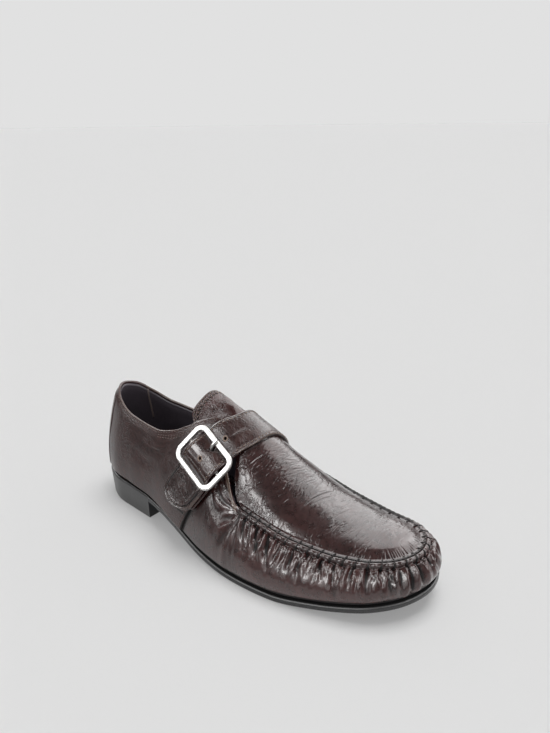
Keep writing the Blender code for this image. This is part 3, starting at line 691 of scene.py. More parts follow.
def apron_half(places, side):
    """One side of the apron: steps and rises of its grid, its levels and its painted shade marks."""
    steps = step_at(places, side)
    at = places[:, None]
    edge = wall_top(steps) + smooth(THROAT, 1, places)
    edge = edge - APRON_TRIM * ease(places, SEAM_START - 2, SEAM_START + 3)
    inside = np.linspace(0, 1, 72) ** 1.25
    length = edge[:, None] + (full_length(steps) - edge)[:, None] * inside[None]
    grid = steps[:, None] + 0 * length
    rise = rise_for(grid, length)
    rise[:, -1] = 1.0
    away = edge[:, None] - length + APRON_TRIM
    near = smooth(SEAM_PROFILE, 1, away) * ease(at, SEAM_START - 4, SEAM_START + 4)
    sunk = -1.5 * (1 - ease(at, SEAM_START - 8, SEAM_START + 4))
    arc = np.interp(grid, ARC_STEPS, ARC)
    on_seam = ease(at, SEAM_START, SEAM_START + 6)
    rays = wrinkles(arc, away, at) + 1.3 * lumps(arc) * bell(away, 0.4, 0.8) * on_seam
    girth = side * (full_length(steps)[:, None] - length)
    folds = apron_folds(at + 0 * girth, girth)
    soft = 0.14 * waves(place(grid, rise, 0.0), 18.0, 5)
    level = near + sunk * (1 - ease(-away, -1.0, 8.0)) + rays + folds + soft
    # painted shade along the apron's edge at the seam, stronger on the far side
    seam_shade = 0.7 * bell(away, 0.5, 1.1) * on_seam + 0.8 * bell(away, 0.5, 2.2) * ease(arc, 25, 60)
    # the troughs of the creases and wrinkles are painted darker: painted shade
    return grid, rise, level, rays + folds - seam_shade


def make_apron():
    """The top panel, from under the strap to the toe."""
    places = stations(APRON_BACK, FEATHER[:, 0].max(), 520, FEATHER)
    halves = [apron_half(places, side) for side in (-1, 1)]
    upper = [place(grid, rise, level) for grid, rise, level, _ in halves]
    upper[0][:, -1] = (upper[0][:, -1] + upper[1][:, -1]) / 2
    lower = [place(grid[:, ::8], rise[:, ::8], level[:, ::8] - APRON_THICK)
             for grid, rise, level, _ in halves]
    outer, under, shade_and_edge_mark = [
        np.concatenate([left, right[:, -2::-1]], 1)
        for left, right in (upper, lower, (halves[0][3], halves[1][3]))
    ]
    return sheet("apron", outer, under, shade_and_edge_mark)


def wrinkles(arc, away, at):
    """Fine uneven puckers of the apron beside the seam, strongest round the toe."""
    dice = np.random.default_rng(17)
    total = np.zeros_like(arc + away)
    middle = arc.min()
    while middle < arc.max():
        reach = dice.uniform(3.0, 11.0)
        depth = dice.uniform(0.08, 0.32)
        centre = middle + dice.uniform(-0.15, 0.15) * away
        near = ease(-away, 0.6, 2.0) * (1 - ease(-away, 0.4 * reach, reach))
        total -= depth * near * bell(arc, centre, 0.55)
        middle += dice.uniform(1.2, 3.2)
    return total * (0.3 + 0.7 * ease(at, 235, 285)) * ease(at, SEAM_START - 2, SEAM_START + 8)


CREASE_WIDTH = 0.36
CREASES_IN_PATCH = 120    # small creases where the apron bends behind the strap
CREASES_IN_ALL = 230

# main creases of the apron, each a soft trough with a low ridge beside it
CREASES = (
    # at, girth, at, girth, bow, depth, width
    (213.2, -25.7, 220.3, 8.5, 1.2, 0.34, CREASE_WIDTH),
    (216.5, -20.0, 222.5, 2.0, 0.8, 0.20, CREASE_WIDTH),
    (170.6, -29.2, 175.8, -12.3, 0.4, 0.32, CREASE_WIDTH),
    (234.7, -14.8, 237.6, -3.1, 0.5, 0.16, CREASE_WIDTH),
    (247.4, -9.0, 248.0, 1.0, 0.4, 0.14, CREASE_WIDTH),
)


def small_creases():
    """Short fine creases across the apron, crowded in a patch where it bends."""
    dice = np.random.default_rng(23)
    creases = []
    for number in range(CREASES_IN_ALL):
        if number < CREASES_IN_PATCH:
            at, girth = dice.normal(188, 7), dice.normal(-20, 9)
        else:
            at, girth = dice.uniform(165, 285), dice.uniform(-34, 34)
        long, tilt = dice.uniform(2.5, 9.0), dice.normal(0.25, 0.2)
        depth = dice.uniform(0.05, 0.2) * (1.0 if number < CREASES_IN_PATCH else 0.6)
        bow = dice.uniform(-0.6, 0.6)
        creases.append((at, girth, at + tilt * long, girth + long, bow, depth, CREASE_WIDTH))
    return creases


def apron_folds(at, girth):
    """Height of all creases; each is worked out only on the part of the apron it lies on."""
    total = 0.0 * at
    for at0, girth0, at1, girth1, bow, depth, width in CREASES + tuple(small_creases()):
        near = np.abs(at - (at0 + at1) / 2) < abs(at1 - at0) / 2 + 5
        near = near & (girth > girth0 - 5) & (girth < girth1 + 5)
        along = np.array([at1 - at0, girth1 - girth0])
        length = np.hypot(*along)
        along = along / length
        u = ((at[near] - at0) * along[0] + (girth[near] - girth0) * along[1]) / length
        v = -(at[near] - at0) * along[1] + (girth[near] - girth0) * along[0]
        v = v - bow * 4 * u * (1 - u)
        fade = ease(u, -0.1, 0.25) * (1 - ease(u, 0.75, 1.1))
        total[near] -= fade * depth * bell(v, 0, width)
        total[near] += fade * 0.6 * depth * bell(v, 2.2 * width, 1.3 * width)
    return total


def both_edges(count):
    """Shares from -1 to 1 that crowd towards both ends."""
    return np.sin(np.linspace(-1, 1, count) * math.pi / 2)


def round_over(distance, radius, drop):
    """How far a rounded edge has dropped at a distance inside it."""
    t = np.clip(1 - distance / radius, 0, 1)
    return drop * (1 - np.sqrt(1 - t * t * 0.98))


QUARTER_BACK = COUNTER_EDGE - 2.0
QUARTER_INSIDE = 0.9 - WALL  # level of a quarter's edge turned in at the collar
COUNTER_INSIDE = 0.7 - WALL
MARGIN_END = 118.0        # the turned-in bottom of the back half ends here on both sides
RIM_HIGHLIGHT = 2.22               # mark of a folded edge painted a little towards bare leather's colour: a painted highlight
SKIVE = 1.0               # the panels are thinned by this at the collar
EDGE_FOLD = 0.9           # radius of their folded top edge
FOLD_STEPS = 10


def skived(below):
    """How much a panel is thinned at a distance below the wall's top edge."""
    return SKIVE * (1 - ease(below, 0.5, 6.0))


def over_edge(edge, out_level, in_level, down):
    """The fold over the wall's top edge, and the turned-in part at distances down inside it."""
    top = wall_top(edge) - EDGE_FOLD
    turn = np.linspace(0, math.pi, FOLD_STEPS + 1)[None, 1:]
    middle, half = (out_level + in_level) / 2, (out_level - in_level) / 2
    over = laid(edge, top + EDGE_FOLD * np.sin(turn), middle + half * np.cos(turn))
    return np.concatenate([over, laid(edge, top - down, in_level)], 1)


def make_margin():
    """The bottom of the back half, turned in under the last."""
    steps = round_heel(MARGIN_END, 260)
    grid = steps[:, None]
    up = np.linspace(6.0, 0.0, 7)[None]
    outer = laid(grid, up, 0.0)
    inner = laid(grid, up[:, ::2], -WALL)[:, ::-1]
    return loft("lasted_margin", np.concatenate([outer, lasted_edge(steps, 2.5 * TUCK), inner], 1))


def beside_strap_tip(at, girth):
    """Distance outside the strap's outline on the outer quarter, where a painted shadow lies."""
    first = -STRAP[0][0]
    where = np.minimum(girth, first)
    centre, half = smooth(STRAP, 1, -where), smooth(STRAP, 2, -where) / 2
    beyond = np.maximum(girth - first, 0) * half / TIP_LONG
    return np.hypot(at - centre, beyond) - half


QUARTER_CREASES = (
    # at, distance below the top edge, half length, width, depth
    (88.0, 16.0, 11.0, 1.0, 0.40),
    (93.0, 11.5, 12.0, 1.1, 0.36),
    (97.0, 20.0, 9.0, 1.0, 0.30),
    (75.0, 28.0, 16.0, 4.0, 0.40),
)


def quarter_folds(at, below):
    """Shallow creases of the outer quarter behind the strap."""
    total = 0.0 * at
    for centre, depth_below, long, wide, depth in QUARTER_CREASES:
        u = (at - centre) / long
        v = below - depth_below + 3.0 * u * u
        total -= depth * np.exp(-u * u * 1.5) * bell(v, 0, wide)
        total += 0.6 * depth * np.exp(-u * u * 1.5) * bell(v, -2.1 * wide, 1.4 * wide)
    return total


def make_quarter(name, side):
    """A quarter, from under the counter to its curved front edge, folded over the wall's top edge."""
    ups = np.linspace(0, 1, 64)
    front = smooth(QUARTER_FRONT, 1, ups)
    # the columns crowd towards the front edge
    share = np.concatenate([np.linspace(0, 0.9, 216)[:-1], 1 - 0.1 * (1 - np.linspace(0, 1, 25)) ** 1.6])
    grid = np.stack([step_at(QUARTER_BACK + (front - QUARTER_BACK) * s, side) for s in share])
    top = wall_top(grid)
    length = (top - EDGE_FOLD) * ups[None]
    below = top - length
    rise = rise_for(grid, length)
    at = around(grid, FEATHER)[..., 0]
    to_front = front[None] - at
    level = LAY + OVERLAY - round_over(to_front, 1.6, 0.9) - skived(below)
    uneven = 0.2 * waves(place(grid, rise, 0.0), 22.0, 7 + side)
    level = level + uneven * ease(to_front, 2, 12) * ease(below, 3, 14)
    # the mark for the colour: a painted highlight along the upper front edge, painted shadow along its
    # lower part, and a painted shadow beside the strap's tip
    front_light_and_shade = (to_front < 0.9) * np.where(ups[None] > 0.5, RIM_HIGHLIGHT, -1.2)
    if side < 0:
        level = level + quarter_folds(at, below)
        beside = beside_strap_tip(at, full_length(grid) - length)
        # painted shadow round the strap's tip
        front_light_and_shade = front_light_and_shade - 1.0 * bell(beside, 0.4, 0.7) - 0.2 * bell(beside, 1.0, 2.0)
    outer = place(grid, rise, level)
    folded = over_edge(grid[:, -1:], LAY + OVERLAY - SKIVE, QUARTER_INSIDE, np.linspace(1.0, 9.0, 5))
    picks = np.linspace(58, 0, 14).astype(int)
    under = place(grid[:, picks], rise[:, picks], LAY)
    rings = np.concatenate([outer, folded, under], 1)
    shade_and_edge_mark = np.zeros(rings.shape[:2])
    shade_and_edge_mark[:, :len(ups)] = front_light_and_shade
    # painted highlight on the folded top edge
    shade_and_edge_mark[:, len(ups):len(ups) + FOLD_STEPS] = RIM_HIGHLIGHT
    return loft(name, rings, shade_and_edge_mark)


def make_counter():
    """The narrow strip up the back of the heel, over the ends of the quarters."""
    steps = round_heel(COUNTER_EDGE, 90)
    ups = np.linspace(0, 1, 60)[None]
    grid = steps[:, None] + 0 * ups
    top = wall_top(grid)
    arc = arc_length(around(steps, FEATHER))
    from_end = np.minimum(arc, arc[-1] - arc)[:, None]
    thinned = 1.3 * (1 - ease(top - top * ups, 0.5, 6.0))
    outer_level = LAY + COUNTER - round_over(from_end, 1.2, 0.8) - thinned
    length = (top - EDGE_FOLD) * ups
    outer = laid(grid, length, outer_level)
    folded = over_edge(grid[:, -1:], outer_level[:, -1:], COUNTER_INSIDE, np.array([3.0, 12.0]))
    picks = np.linspace(54, 0, 12).astype(int)
    under = laid(grid[:, picks], length[:, picks], LAY + 0.2)
    return loft("back_strip", np.concatenate([outer, folded, under], 1))


LINING_LEVEL = -WALL - 0.75
LINING_FRONT = 190.0      # the lining reaches to here inside the front


def lining_rise(below):
    """The lining comes up by this where it meets the collar."""
    return 1.0 * (1 - ease(below, 1.6, 8.0))


def make_lining():
    """The lining of the back half, from the collar down to the insole."""
    steps = round_heel(LINING_FRONT, 420)
    up = np.linspace(0, 1, 26)[None]
    grid = steps[:, None] + 0 * up
    length = (wall_top(grid) - 1.6) * np.linspace(0.02, 1, 26)[None]
    rise = rise_for(grid, length)
    level = LINING_LEVEL - 0.25 * waves(place(grid, rise, 0.0), 16.0, 21) * (1 - up ** 6)
    level = level + lining_rise(wall_top(grid) - length)
    inner = place(grid, rise, level)
    outer = place(grid[:, ::3], rise[:, ::3], level[:, ::3] + 0.8)
    return sheet("lining", outer, inner)


TONGUE_ROWS = (2.2, 5.0)  # two rows of stitch holes, in from the tongue's edge
TONGUE_PITCH = 3.1


def make_lining_seam():
    """The pale seam that joins the two parts of the lining, inside the inner quarter."""
    below = np.linspace(1.4, 30.0, 40)
    step = step_at(22.0 + 0.06 * below, 1)
    rise = rise_for(step, wall_top(step) - below)
    middle = place(step, rise, LINING_LEVEL + lining_rise(below))
    return tube("lining_seam", middle, skin_normal(step, rise), 0.8, 0.5, 10)


def make_tongue():
    """The tongue stands up behind the strap."""
    first, last = TONGUE_EDGE[0][0], TONGUE_EDGE[-1][0]
    girth = (first + last) / 2 + both_edges(150) * (last - first) / 2
    girth = girth[None] + np.zeros((120, 1))
    edge = smooth(TONGUE_EDGE, 1, girth)
    share = np.linspace(0, 1, 120)[:, None] ** 1.4
    at = edge + (TONGUE_END - edge) * share
    step, rise = on_last(at, girth)
    inside = np.minimum(at - edge, np.minimum(girth - girth.min(), girth.max() - girth) * 1.4)
    top = tongue_face(at, girth) - round_over(inside, 1.3, 0.9)
    walk = (at - edge) - (girth - girth.min())
    hole = (0.5 + 0.5 * np.cos(2 * math.pi * walk / TONGUE_PITCH)) ** 2
    for inset in TONGUE_ROWS:
        top = top - (0.2 + 0.75 * hole) * bell(inside, inset, 0.55)
    top = top + 0.25 * bell(inside, sum(TONGUE_ROWS) / 2, 0.9)
    top = top + 0.16 * waves(place(step, rise, 0.0), 9.0, 31) * ease(inside, 4, 9)
    upper = place(step, rise, top)
    lower = place(step, rise, top - TONGUE_THICK + round_over(inside, 1.3, 0.8))
    # painted shade: the rows of stitch holes are darkened
    pits = sum(bell(inside, inset, 0.6) for inset in TONGUE_ROWS)
    return sheet("tongue_top", upper, lower, -1.5 * pits * (0.3 + 0.7 * hole))


def tongue_face(at, girth):
    """Height of the tongue's upper face above the last, away from its edges."""
    clear = np.minimum(wall_girth(at, -1) + girth, wall_girth(at, 1) - girth)
    return smooth(TONGUE_LIFT, 1, at) * ease(clear, *LIFT_CLEAR) - TONGUE_UNDER


def wall_girth(at, side):
    """Girth from the ridge to the wall's top edge on one side."""
    steps = step_at(at, side)
    return full_length(steps) - wall_top(steps)


# ---- strap and buckle ----------------------------------------------------------------

TIP_PARED = -59.0         # girth where the strap starts to thin towards its tip
STRAP_TRIM = 1.8          # its front edge is cut back by this over the instep
STRAP_DOWN = 2.0          # over the instep the strap pulls down this much on the tongue
STRAP_STITCH_INSET = 2.3  # its row of stitches lies this far inside its edge
STRAP_STITCH_SINK = 0.22  # and this far under its face

# the strap arches over the buckle's middle bar
ARCH = (
    # place along the strap from the bar, share of the full rise
    (-12.6, 0.0),
    (-9.0, 0.5),
    (-6.0, 0.87),
    (-3.0, 1.0),
    (0.0, 0.97),
    (3.0, 0.86),
    (6.0, 0.66),
    (9.0, 0.36),
    (12.6, 0.0),
)


def directions(at, girth):
    """How the last's surface runs on for 1 mm more along the shoe, and for 1 mm more girth."""
    ahead = (skin(*on_last(at + 1, girth)) - skin(*on_last(at - 1, girth))) / 2
    up = (skin(*on_last(at, girth + 1)) - skin(*on_last(at, girth - 1))) / 2
    return ahead, up


def strap_frame(girth):
    """Centre line place as (at, girth), and the (at, girth) step that is 1 mm straight across."""
    girth = np.asarray(girth, float)
    at = smooth(STRAP, 1, girth)
    slope = smooth(STRAP, 1, girth + 0.5) - smooth(STRAP, 1, girth - 0.5)
    ahead, up = directions(at, girth)
    along = up + ahead * slope[..., None]
    share = (along * up).sum(-1) / (along * ahead).sum(-1)
    across = np.stack([np.ones_like(share), -1 / share], -1)
    real = ahead + up * across[..., 1:]
    return np.stack([at, girth], -1), across / np.linalg.norm(real, axis=-1)[..., None]


def strap_grid(extra, lines, share):
    """Places (at, girth) over the strap or a wider one, and their distances inside its edge.

    The first end is round; lines are the girths of the straight part's rows.
    """
    centre, across = strap_frame(lines)
    half = smooth(STRAP, 2, lines) / 2 + extra
    trim = STRAP_TRIM * ease(lines, -5, 18) * (1 - ease(lines, 40, 60))
    offset = share * half[:, None] - trim[:, None] * (1 + share) / 2
    grid = centre[:, None] + across[:, None] * offset[..., None]
    back = unit(centre[0] - centre[1])
    turns = np.radians(np.linspace(87, 3, 30))[:, None]
    wide = across[0] * half[0]
    cap = centre[0] + back * ((TIP_LONG + extra) * np.sin(turns))[..., None]
    cap = cap + wide * (share * np.cos(turns))[..., None]
    inside = (1 - np.abs(share)) * half[:, None]
    inside_cap = (1 - np.hypot(np.sin(turns), share * np.cos(turns))) * half[0]
    return np.concatenate([cap, grid]), np.concatenate([inside_cap, inside])


def strap_level(lines):
    """Height of the strap's underside above the last: arched over the buckle's middle bar."""
    away = lines - BUCKLE_AT[0]
    arch = smooth(ARCH, 1, away)
    on_tab = (TAB_THICK + GAP) * (away < 0)
    settled = STRAP_DOWN * ease(lines, -26, -12) * (1 - ease(lines, 28, 46))
    return LAY + OVERLAY + REST - settled + on_tab * (1 - arch) + HUMP_RISE * arch


def lines_of(count, lines):
    """The girth of every loop of a strap, its round tip included."""
    return np.concatenate([np.full(count - len(lines), lines[0]), lines])


def padded_rim(grid, inside):
    """The tip's padded rim, puckered by its stitches."""
    turn = np.arctan2(grid[..., 1] - STRAP[0][0], (grid[..., 0] - STRAP[0][1]) * 1.1)
    pucker = 1 + 0.45 * np.cos(turn * 30) + 0.2 * np.cos(turn * 19 + 1.0)
    pad = 1.1 * (1 - ease(inside, 3.0, 9.0)) * ease(inside, 0.2, 1.0)
    return pad + 0.3 * pucker * bell(inside, 4.6, 0.9) - 1.0 * bell(inside, 2.9, 0.6)


def strap_crease(at, girth):
    """A sharp line pressed along the strap beside its free hole."""
    middle = 155.8 + 0.38 * (girth + 11.3) + 0.012 * (girth + 11.3) * (girth + 23)
    along = ease(girth, -25, -22) * (1 - ease(girth, -13, -9))
    off = at - middle
    return along * (0.35 * bell(off, -0.75, 0.45) - 0.45 * bell(off, 0, 0.4))


HOLE_RIM = (
    # distance outside the hole's edge, height above the strap
    (-0.3, -0.7),
    (-0.35, 0.0),
    (0.0, 0.2),
    (0.5, 0.2),
    (0.75, -0.6),
)


def make_hole_rims():
    """Pale worn rings round the strap's free holes."""
    rims = []
    for girth, width in (STRAP_HOLES[0], STRAP_HOLES[2]):
        at = float(smooth(STRAP, 1, girth))
        turns = np.linspace(0, 2 * math.pi, 25)[:-1]
        ahead, up = directions(at, girth)
        loops = []
        for out, height in HOLE_RIM:
            radius = width / 2 + out
            ats = at + radius * np.cos(turns) / np.linalg.norm(ahead)
            girths = girth + radius * np.sin(turns) / np.linalg.norm(up)
            step, rise = on_last(ats, girths)
            loops.append(place(step, rise, strap_level(girths) + STRAP_THICK + height))
        rings = np.stack(loops, 1)
        index = np.arange(len(turns) * len(loops)).reshape(-1, len(loops))
        after = np.roll(index, -1, 0)
        faces = np.stack([index, after, np.roll(after, -1, 1), np.roll(index, -1, 1)], -1)
        rims.append(make_mesh("hole_rim", rings.reshape(-1, 3), faces.reshape(-1, 4).tolist()))
    return join("hole_rims", rims)


def tip_droop(girth):
    """The strap is pared thinner towards its tip."""
    return 0.085 * np.clip(TIP_PARED - girth, 0, 13)


def make_strap():
    """The strap with its round padded tip, its pressed lines and its three holes."""
    lines = np.concatenate([np.linspace(STRAP[0][0], -66, 16)[:-1], np.linspace(-66, -26, 90),
                            np.linspace(-26, STRAP[-1][0], 110)[1:]])
    grid, inside = strap_grid(0.0, lines, both_edges(90)[None])
    girths = lines_of(len(grid), lines)[:, None]
    at, girth = grid[..., 0], grid[..., 1]
    step, rise = on_last(at, girth)
    low = strap_level(girths) + 0 * rise
    level = low + STRAP_THICK - round_over(inside, 1.1, 0.7)
    level = level - 0.3 * bell(inside, STRAP_STITCH_INSET, 0.6) + 0.2 * bell(inside, 1.2, 0.5)
    line = strap_crease(at, girth)
    tip = 1 - ease(girths, -66, -60)
    level = level + tip * padded_rim(grid, inside) - tip_droop(girth)
    level = level + 0.1 * waves(place(step, rise, 0.0), 12.0, 41) * ease(inside, 2, 6) + line
    upper = place(step, rise, level)
    lower = place(step[:, ::5], rise[:, ::5], low[:, ::5])
    # the strap's edge painted towards bare leather's colour: its cut edge, and a painted highlight along
    # it
    rim_light_and_shade = 2.3 * (inside < 0.75) * ease(girths, -30, -27)
    # the tip's rim the same, and the groove inside it darkened: painted shade
    rim_light_and_shade = rim_light_and_shade + tip * (2.15 * (inside < 1.2) - 1.2 * bell(inside, 2.9, 0.5) * (inside >= 1.2))
    # the pressed line's trough is painted darker: painted shade
    strap = sheet("strap_band", upper, lower, line + rim_light_and_shade)
    for girth, width in STRAP_HOLES:
        cutter = hole_cutter(girth, width)
        cut = strap.modifiers.new("hole", "BOOLEAN")
        cut.operation = "DIFFERENCE"
        cut.solver = "EXACT"
        cut.object = cutter
        apply_all(strap)
        bpy.data.objects.remove(cutter, do_unlink=True)
    return strap


def hole_cutter(girth, width):
    """A round rod through the strap, square to its face."""
    at = float(smooth(STRAP, 1, girth))
    step, rise = on_last(np.array(at), np.array(girth))
    normal = Vector(skin_normal(step, rise))
    where = Vector(to_model(skin(step, rise))) + normal * 8.0 * MM
    turn = normal.to_track_quat("Z", "Y").to_euler()
    bpy.ops.mesh.primitive_cylinder_add(vertices=24, radius=width / 2 * MM, depth=16 * MM,
                                        location=where, rotation=turn)
    return bpy.context.object


def make_tab():
    """The tab that holds the buckle, stitched to the quarter; its rounded edge shows round the tip."""
    lines = np.linspace(STRAP[0][0], TAB_END, 40)
    grid, inside = strap_grid(TAB_WIDER, lines, both_edges(60)[None])
    step, rise = on_last(grid[..., 0], grid[..., 1])
    low = LAY + OVERLAY + GAP + 0 * rise
    level = low + TAB_THICK - round_over(inside, 0.8, 0.6)
    return sheet("tab_under_buckle", place(step, rise, level), place(step, rise, low))


def buckle_pose():
    """Where the buckle lies: x across the strap, y up along it, z out of the shoe."""
    girth, at = BUCKLE_AT
    step, rise = on_last(np.array(at), np.array(girth))
    where = skin(step, rise)
    normal = Vector(skin_normal(step, rise))
    turn = math.radians(BUCKLE_TURN)
    further = on_last(np.array(at) - math.sin(turn), np.array(girth) + math.cos(turn))
    along = Vector(skin(*further) - where)
    along = (along - normal * along.dot(normal)).normalized()
    across = along.cross(normal)
    pose = Matrix((across, along, normal)).transposed().to_4x4()
    pose.translation = Vector(to_model(where)) + normal * BUCKLE_LIFT * MM
    return pose @ Matrix.Rotation(math.radians(BUCKLE_TILT), 4, "X")


def settle(thing, pose):
    """Put a piece made at the origin in its place, with the place in its mesh."""
    thing.data.transform(pose)
    thing.data.update()
    return thing


def apply_all(thing):
    """Work a piece's modifiers into its mesh."""
    bpy.context.view_layer.objects.active = thing
    for modifier in list(thing.modifiers):
        bpy.ops.object.modifier_apply(modifier=modifier.name)


def soften(thing, width, segments, angle=30):
    """Round a piece's edges that are sharper than an angle, and lay it on the shoe with the buckle."""
    edges = thing.modifiers.new("soften", "BEVEL")
    edges.width = width * MM
    edges.segments = segments
    edges.limit_method = "ANGLE"
    edges.angle_limit = math.radians(angle)
    apply_all(thing)
    thing.data.shade_smooth()
    return settle(thing, buckle_pose())


def make_frame():
    """The buckle's rounded flat bar, bent round a rectangle with round corners."""
    bpy.ops.object.select_all(action="DESELECT")
    bpy.ops.mesh.primitive_plane_add(size=1)
    thing = bpy.context.object
    thing.name = "buckle_frame_polished"
    thing.scale = (BUCKLE_WIDE * MM, BUCKLE_LONG * MM, 1)
    thing.location = (0, 0, -BUCKLE_THICK / 2 * MM)
    bpy.ops.object.transform_apply(location=True, rotation=True, scale=True)
    bpy.ops.object.mode_set(mode="EDIT")
    bpy.ops.mesh.select_all(action="SELECT")
    bpy.ops.mesh.bevel(offset=BUCKLE_CORNER * MM, segments=12, affect="VERTICES")
    bpy.ops.mesh.select_all(action="SELECT")
    bpy.ops.mesh.inset(thickness=BUCKLE_BAR * MM)
    bpy.ops.mesh.delete(type="FACE")
    bpy.ops.mesh.select_all(action="SELECT")
    bpy.ops.mesh.extrude_region_move(TRANSFORM_OT_translate={"value": (0, 0, BUCKLE_THICK * MM)})
    bpy.ops.mesh.select_all(action="SELECT")
    bpy.ops.mesh.normals_make_consistent(inside=False)
    bpy.ops.object.mode_set(mode="OBJECT")
    return soften(thing, 1.15, 5, angle=50)


def make_bar():
    """The middle bar, between the frame's two sides."""
    bpy.ops.object.select_all(action="DESELECT")
    length = BUCKLE_WIDE - 2 * BUCKLE_BAR - 2 * GAP
    bpy.ops.mesh.primitive_cylinder_add(vertices=32, radius=PIN * MM, depth=length * MM,
                                        location=(0, 0, -BAR_DROP * MM), rotation=(0, math.pi / 2, 0))
    thing = bpy.context.object
    thing.name = "buckle_bar_polished"
    bpy.ops.object.transform_apply(location=True, rotation=True, scale=True)
    return soften(thing, 0.3, 3)


def make_prong():
    """The prong hooks round the bar, comes up through the strap and rests on the frame."""
    rest = BUCKLE_THICK / 2 + PRONG + GAP
    loop = PIN + HOOK + GAP
    route = [(loop * math.cos(turn), loop * math.sin(turn) - BAR_DROP, HOOK)
             for turn in np.radians(np.linspace(150, 335, 9))]
    route += [(4.4, -1.8, 0.7), (7.2, -0.9, PRONG), (9.4, 1.3, PRONG), (11.6, rest, PRONG),
              (BUCKLE_LONG / 2 - 0.6, rest, PRONG), (BUCKLE_LONG / 2 + 0.4, rest, 0.8 * PRONG)]
    curve = bpy.data.curves.new("buckle_prong_polished", "CURVE")
    curve.dimensions = "3D"
    curve.bevel_depth = MM
    curve.bevel_resolution = 6
    curve.use_fill_caps = True
    spline = curve.splines.new("NURBS")
    spline.points.add(len(route) - 1)
    spline.use_endpoint_u = True
    spline.order_u = 3
    for point, (along, up, radius) in zip(spline.points, route):
        point.co = (0.0, along * MM, up * MM, 1.0)
        point.radius = radius
    bent = bpy.data.objects.new("bent_prong", curve)
    bpy.context.collection.objects.link(bent)
    mesh = bpy.data.meshes.new_from_object(bent.evaluated_get(bpy.context.evaluated_depsgraph_get()))
    bpy.data.objects.remove(bent, do_unlink=True)
    thing = bpy.data.objects.new("buckle_prong_polished", mesh)
    bpy.context.collection.objects.link(thing)
    mesh.shade_smooth()
    return settle(thing, buckle_pose())


# ---- sole ----------------------------------------------------------------------------

SOLE_SECTION = (
    # inset, height above the underside
    (0.9, 0.0),
    (0.25, 0.25),
    (0.0, 0.9),
    (0.0, 2.0),
    (0.0, 2.9),
    (0.12, 3.4),
    (0.4, 3.8),
    (0.9, SOLE_THICK),
    (1.5, SOLE_THICK),
    (5.0, SOLE_THICK),
)
HEEL_SECTION = (
    # share of the height, inset
    (0.0, 0.7),
    (0.02, 0.2),
    (0.06, 0.0),
    (0.3, 0.0),
    (0.6, 0.0),
    (0.95, 0.0),
    (0.985, 0.15),
    (1.0, 0.5),
)
HEEL_GLUE = 0.35          # the heel stops this far under the outsole's upper face


def make_outsole():
    """The thin sole, its edges a little rounded; over the heel it stands in by half a millimetre."""
    curve = EDGE[::2]
    under = smooth(PROFILE, 1, curve[:, 0])
    on_heel = 0.5 * (curve[:, 0] < HEEL_LONG - 0.5)[:, None]
    rings = [np.concatenate([curve + inward(EDGE)[::2] * (inset + on_heel), (under + height)[:, None]], 1)
             for inset, height in SOLE_SECTION]
    count = len(curve)
    index, faces = ring_faces(len(rings), count)
    # both flats are closed by strips across the sole
    for ring in (index[0], index[-1]):
        lateral, medial = ring[:count // 2 + 1], np.roll(ring[::-1], 1)[:count // 2 + 1]
        for k in range(count // 2):
            corners = (lateral[k], lateral[k + 1], medial[k + 1], medial[k])
            faces.append(list(dict.fromkeys(int(corner) for corner in corners)))
    return make_mesh("outsole_edge", np.concatenate(rings), faces)


def make_heel():
    """One block under the heel, sides slightly drawn in towards the floor, front cut straight."""
    lateral = stations(HEEL_POINT[0], HEEL_LONG, 60, EDGE)
    lift_edge = EDGE + inward(EDGE) * HEEL_TAPER
    lift = np.interp(lateral, [HEEL_POINT[0], HEEL_LONG], [lift_edge[:, 0].min(), HEEL_LONG - HEEL_TAPER])
    outlines = []
    for places, curve in ((lift, lift_edge), (lateral, EDGE)):
        left = around(step_at(places, -1, curve), curve)
        right = around(step_at(places, 1, curve), curve)
        outlines.append(np.concatenate([left, right[:0:-1]]))
    low, high = outlines
    top = smooth(PROFILE, 1, high[:, 0]) + SOLE_THICK - HEEL_GLUE
    rings = []
    for share, inset in HEEL_SECTION:
        flat = low * (1 - share) + high * share
        flat = flat + unit(high.mean(0) - flat) * inset
        rings.append(np.concatenate([flat, (top * share)[:, None]], 1))
    index, faces = ring_faces(len(rings), len(low))
    faces += [index[0][::-1].tolist(), index[-1].tolist()]
    thing = make_mesh("heel_block", np.concatenate(rings), faces)
    thing.data.set_sharp_from_angle(angle=math.radians(40))
    return thing


# ---- thread --------------------------------------------------------------------------

# pitch, length and thickness of the machine stitches
STRAP_STITCH = (3.2, 2.0, 0.55)
TONGUE_STITCH = (TONGUE_PITCH, 1.6, 0.55)
QUARTER_STITCH = (3.1, 1.9, 0.6)

STITCH_SHAPE = (
    # share along the stitch, thickness, lift
    (0.0, 0.35, -0.5),
    (0.15, 0.85, 0.0),
    (0.5, 1.0, 0.12),
    (0.85, 0.85, 0.0),
    (1.0, 0.35, -0.5),
)
STITCH_LIFT = 0.35        # of the whole stitch, as a share of its thickness


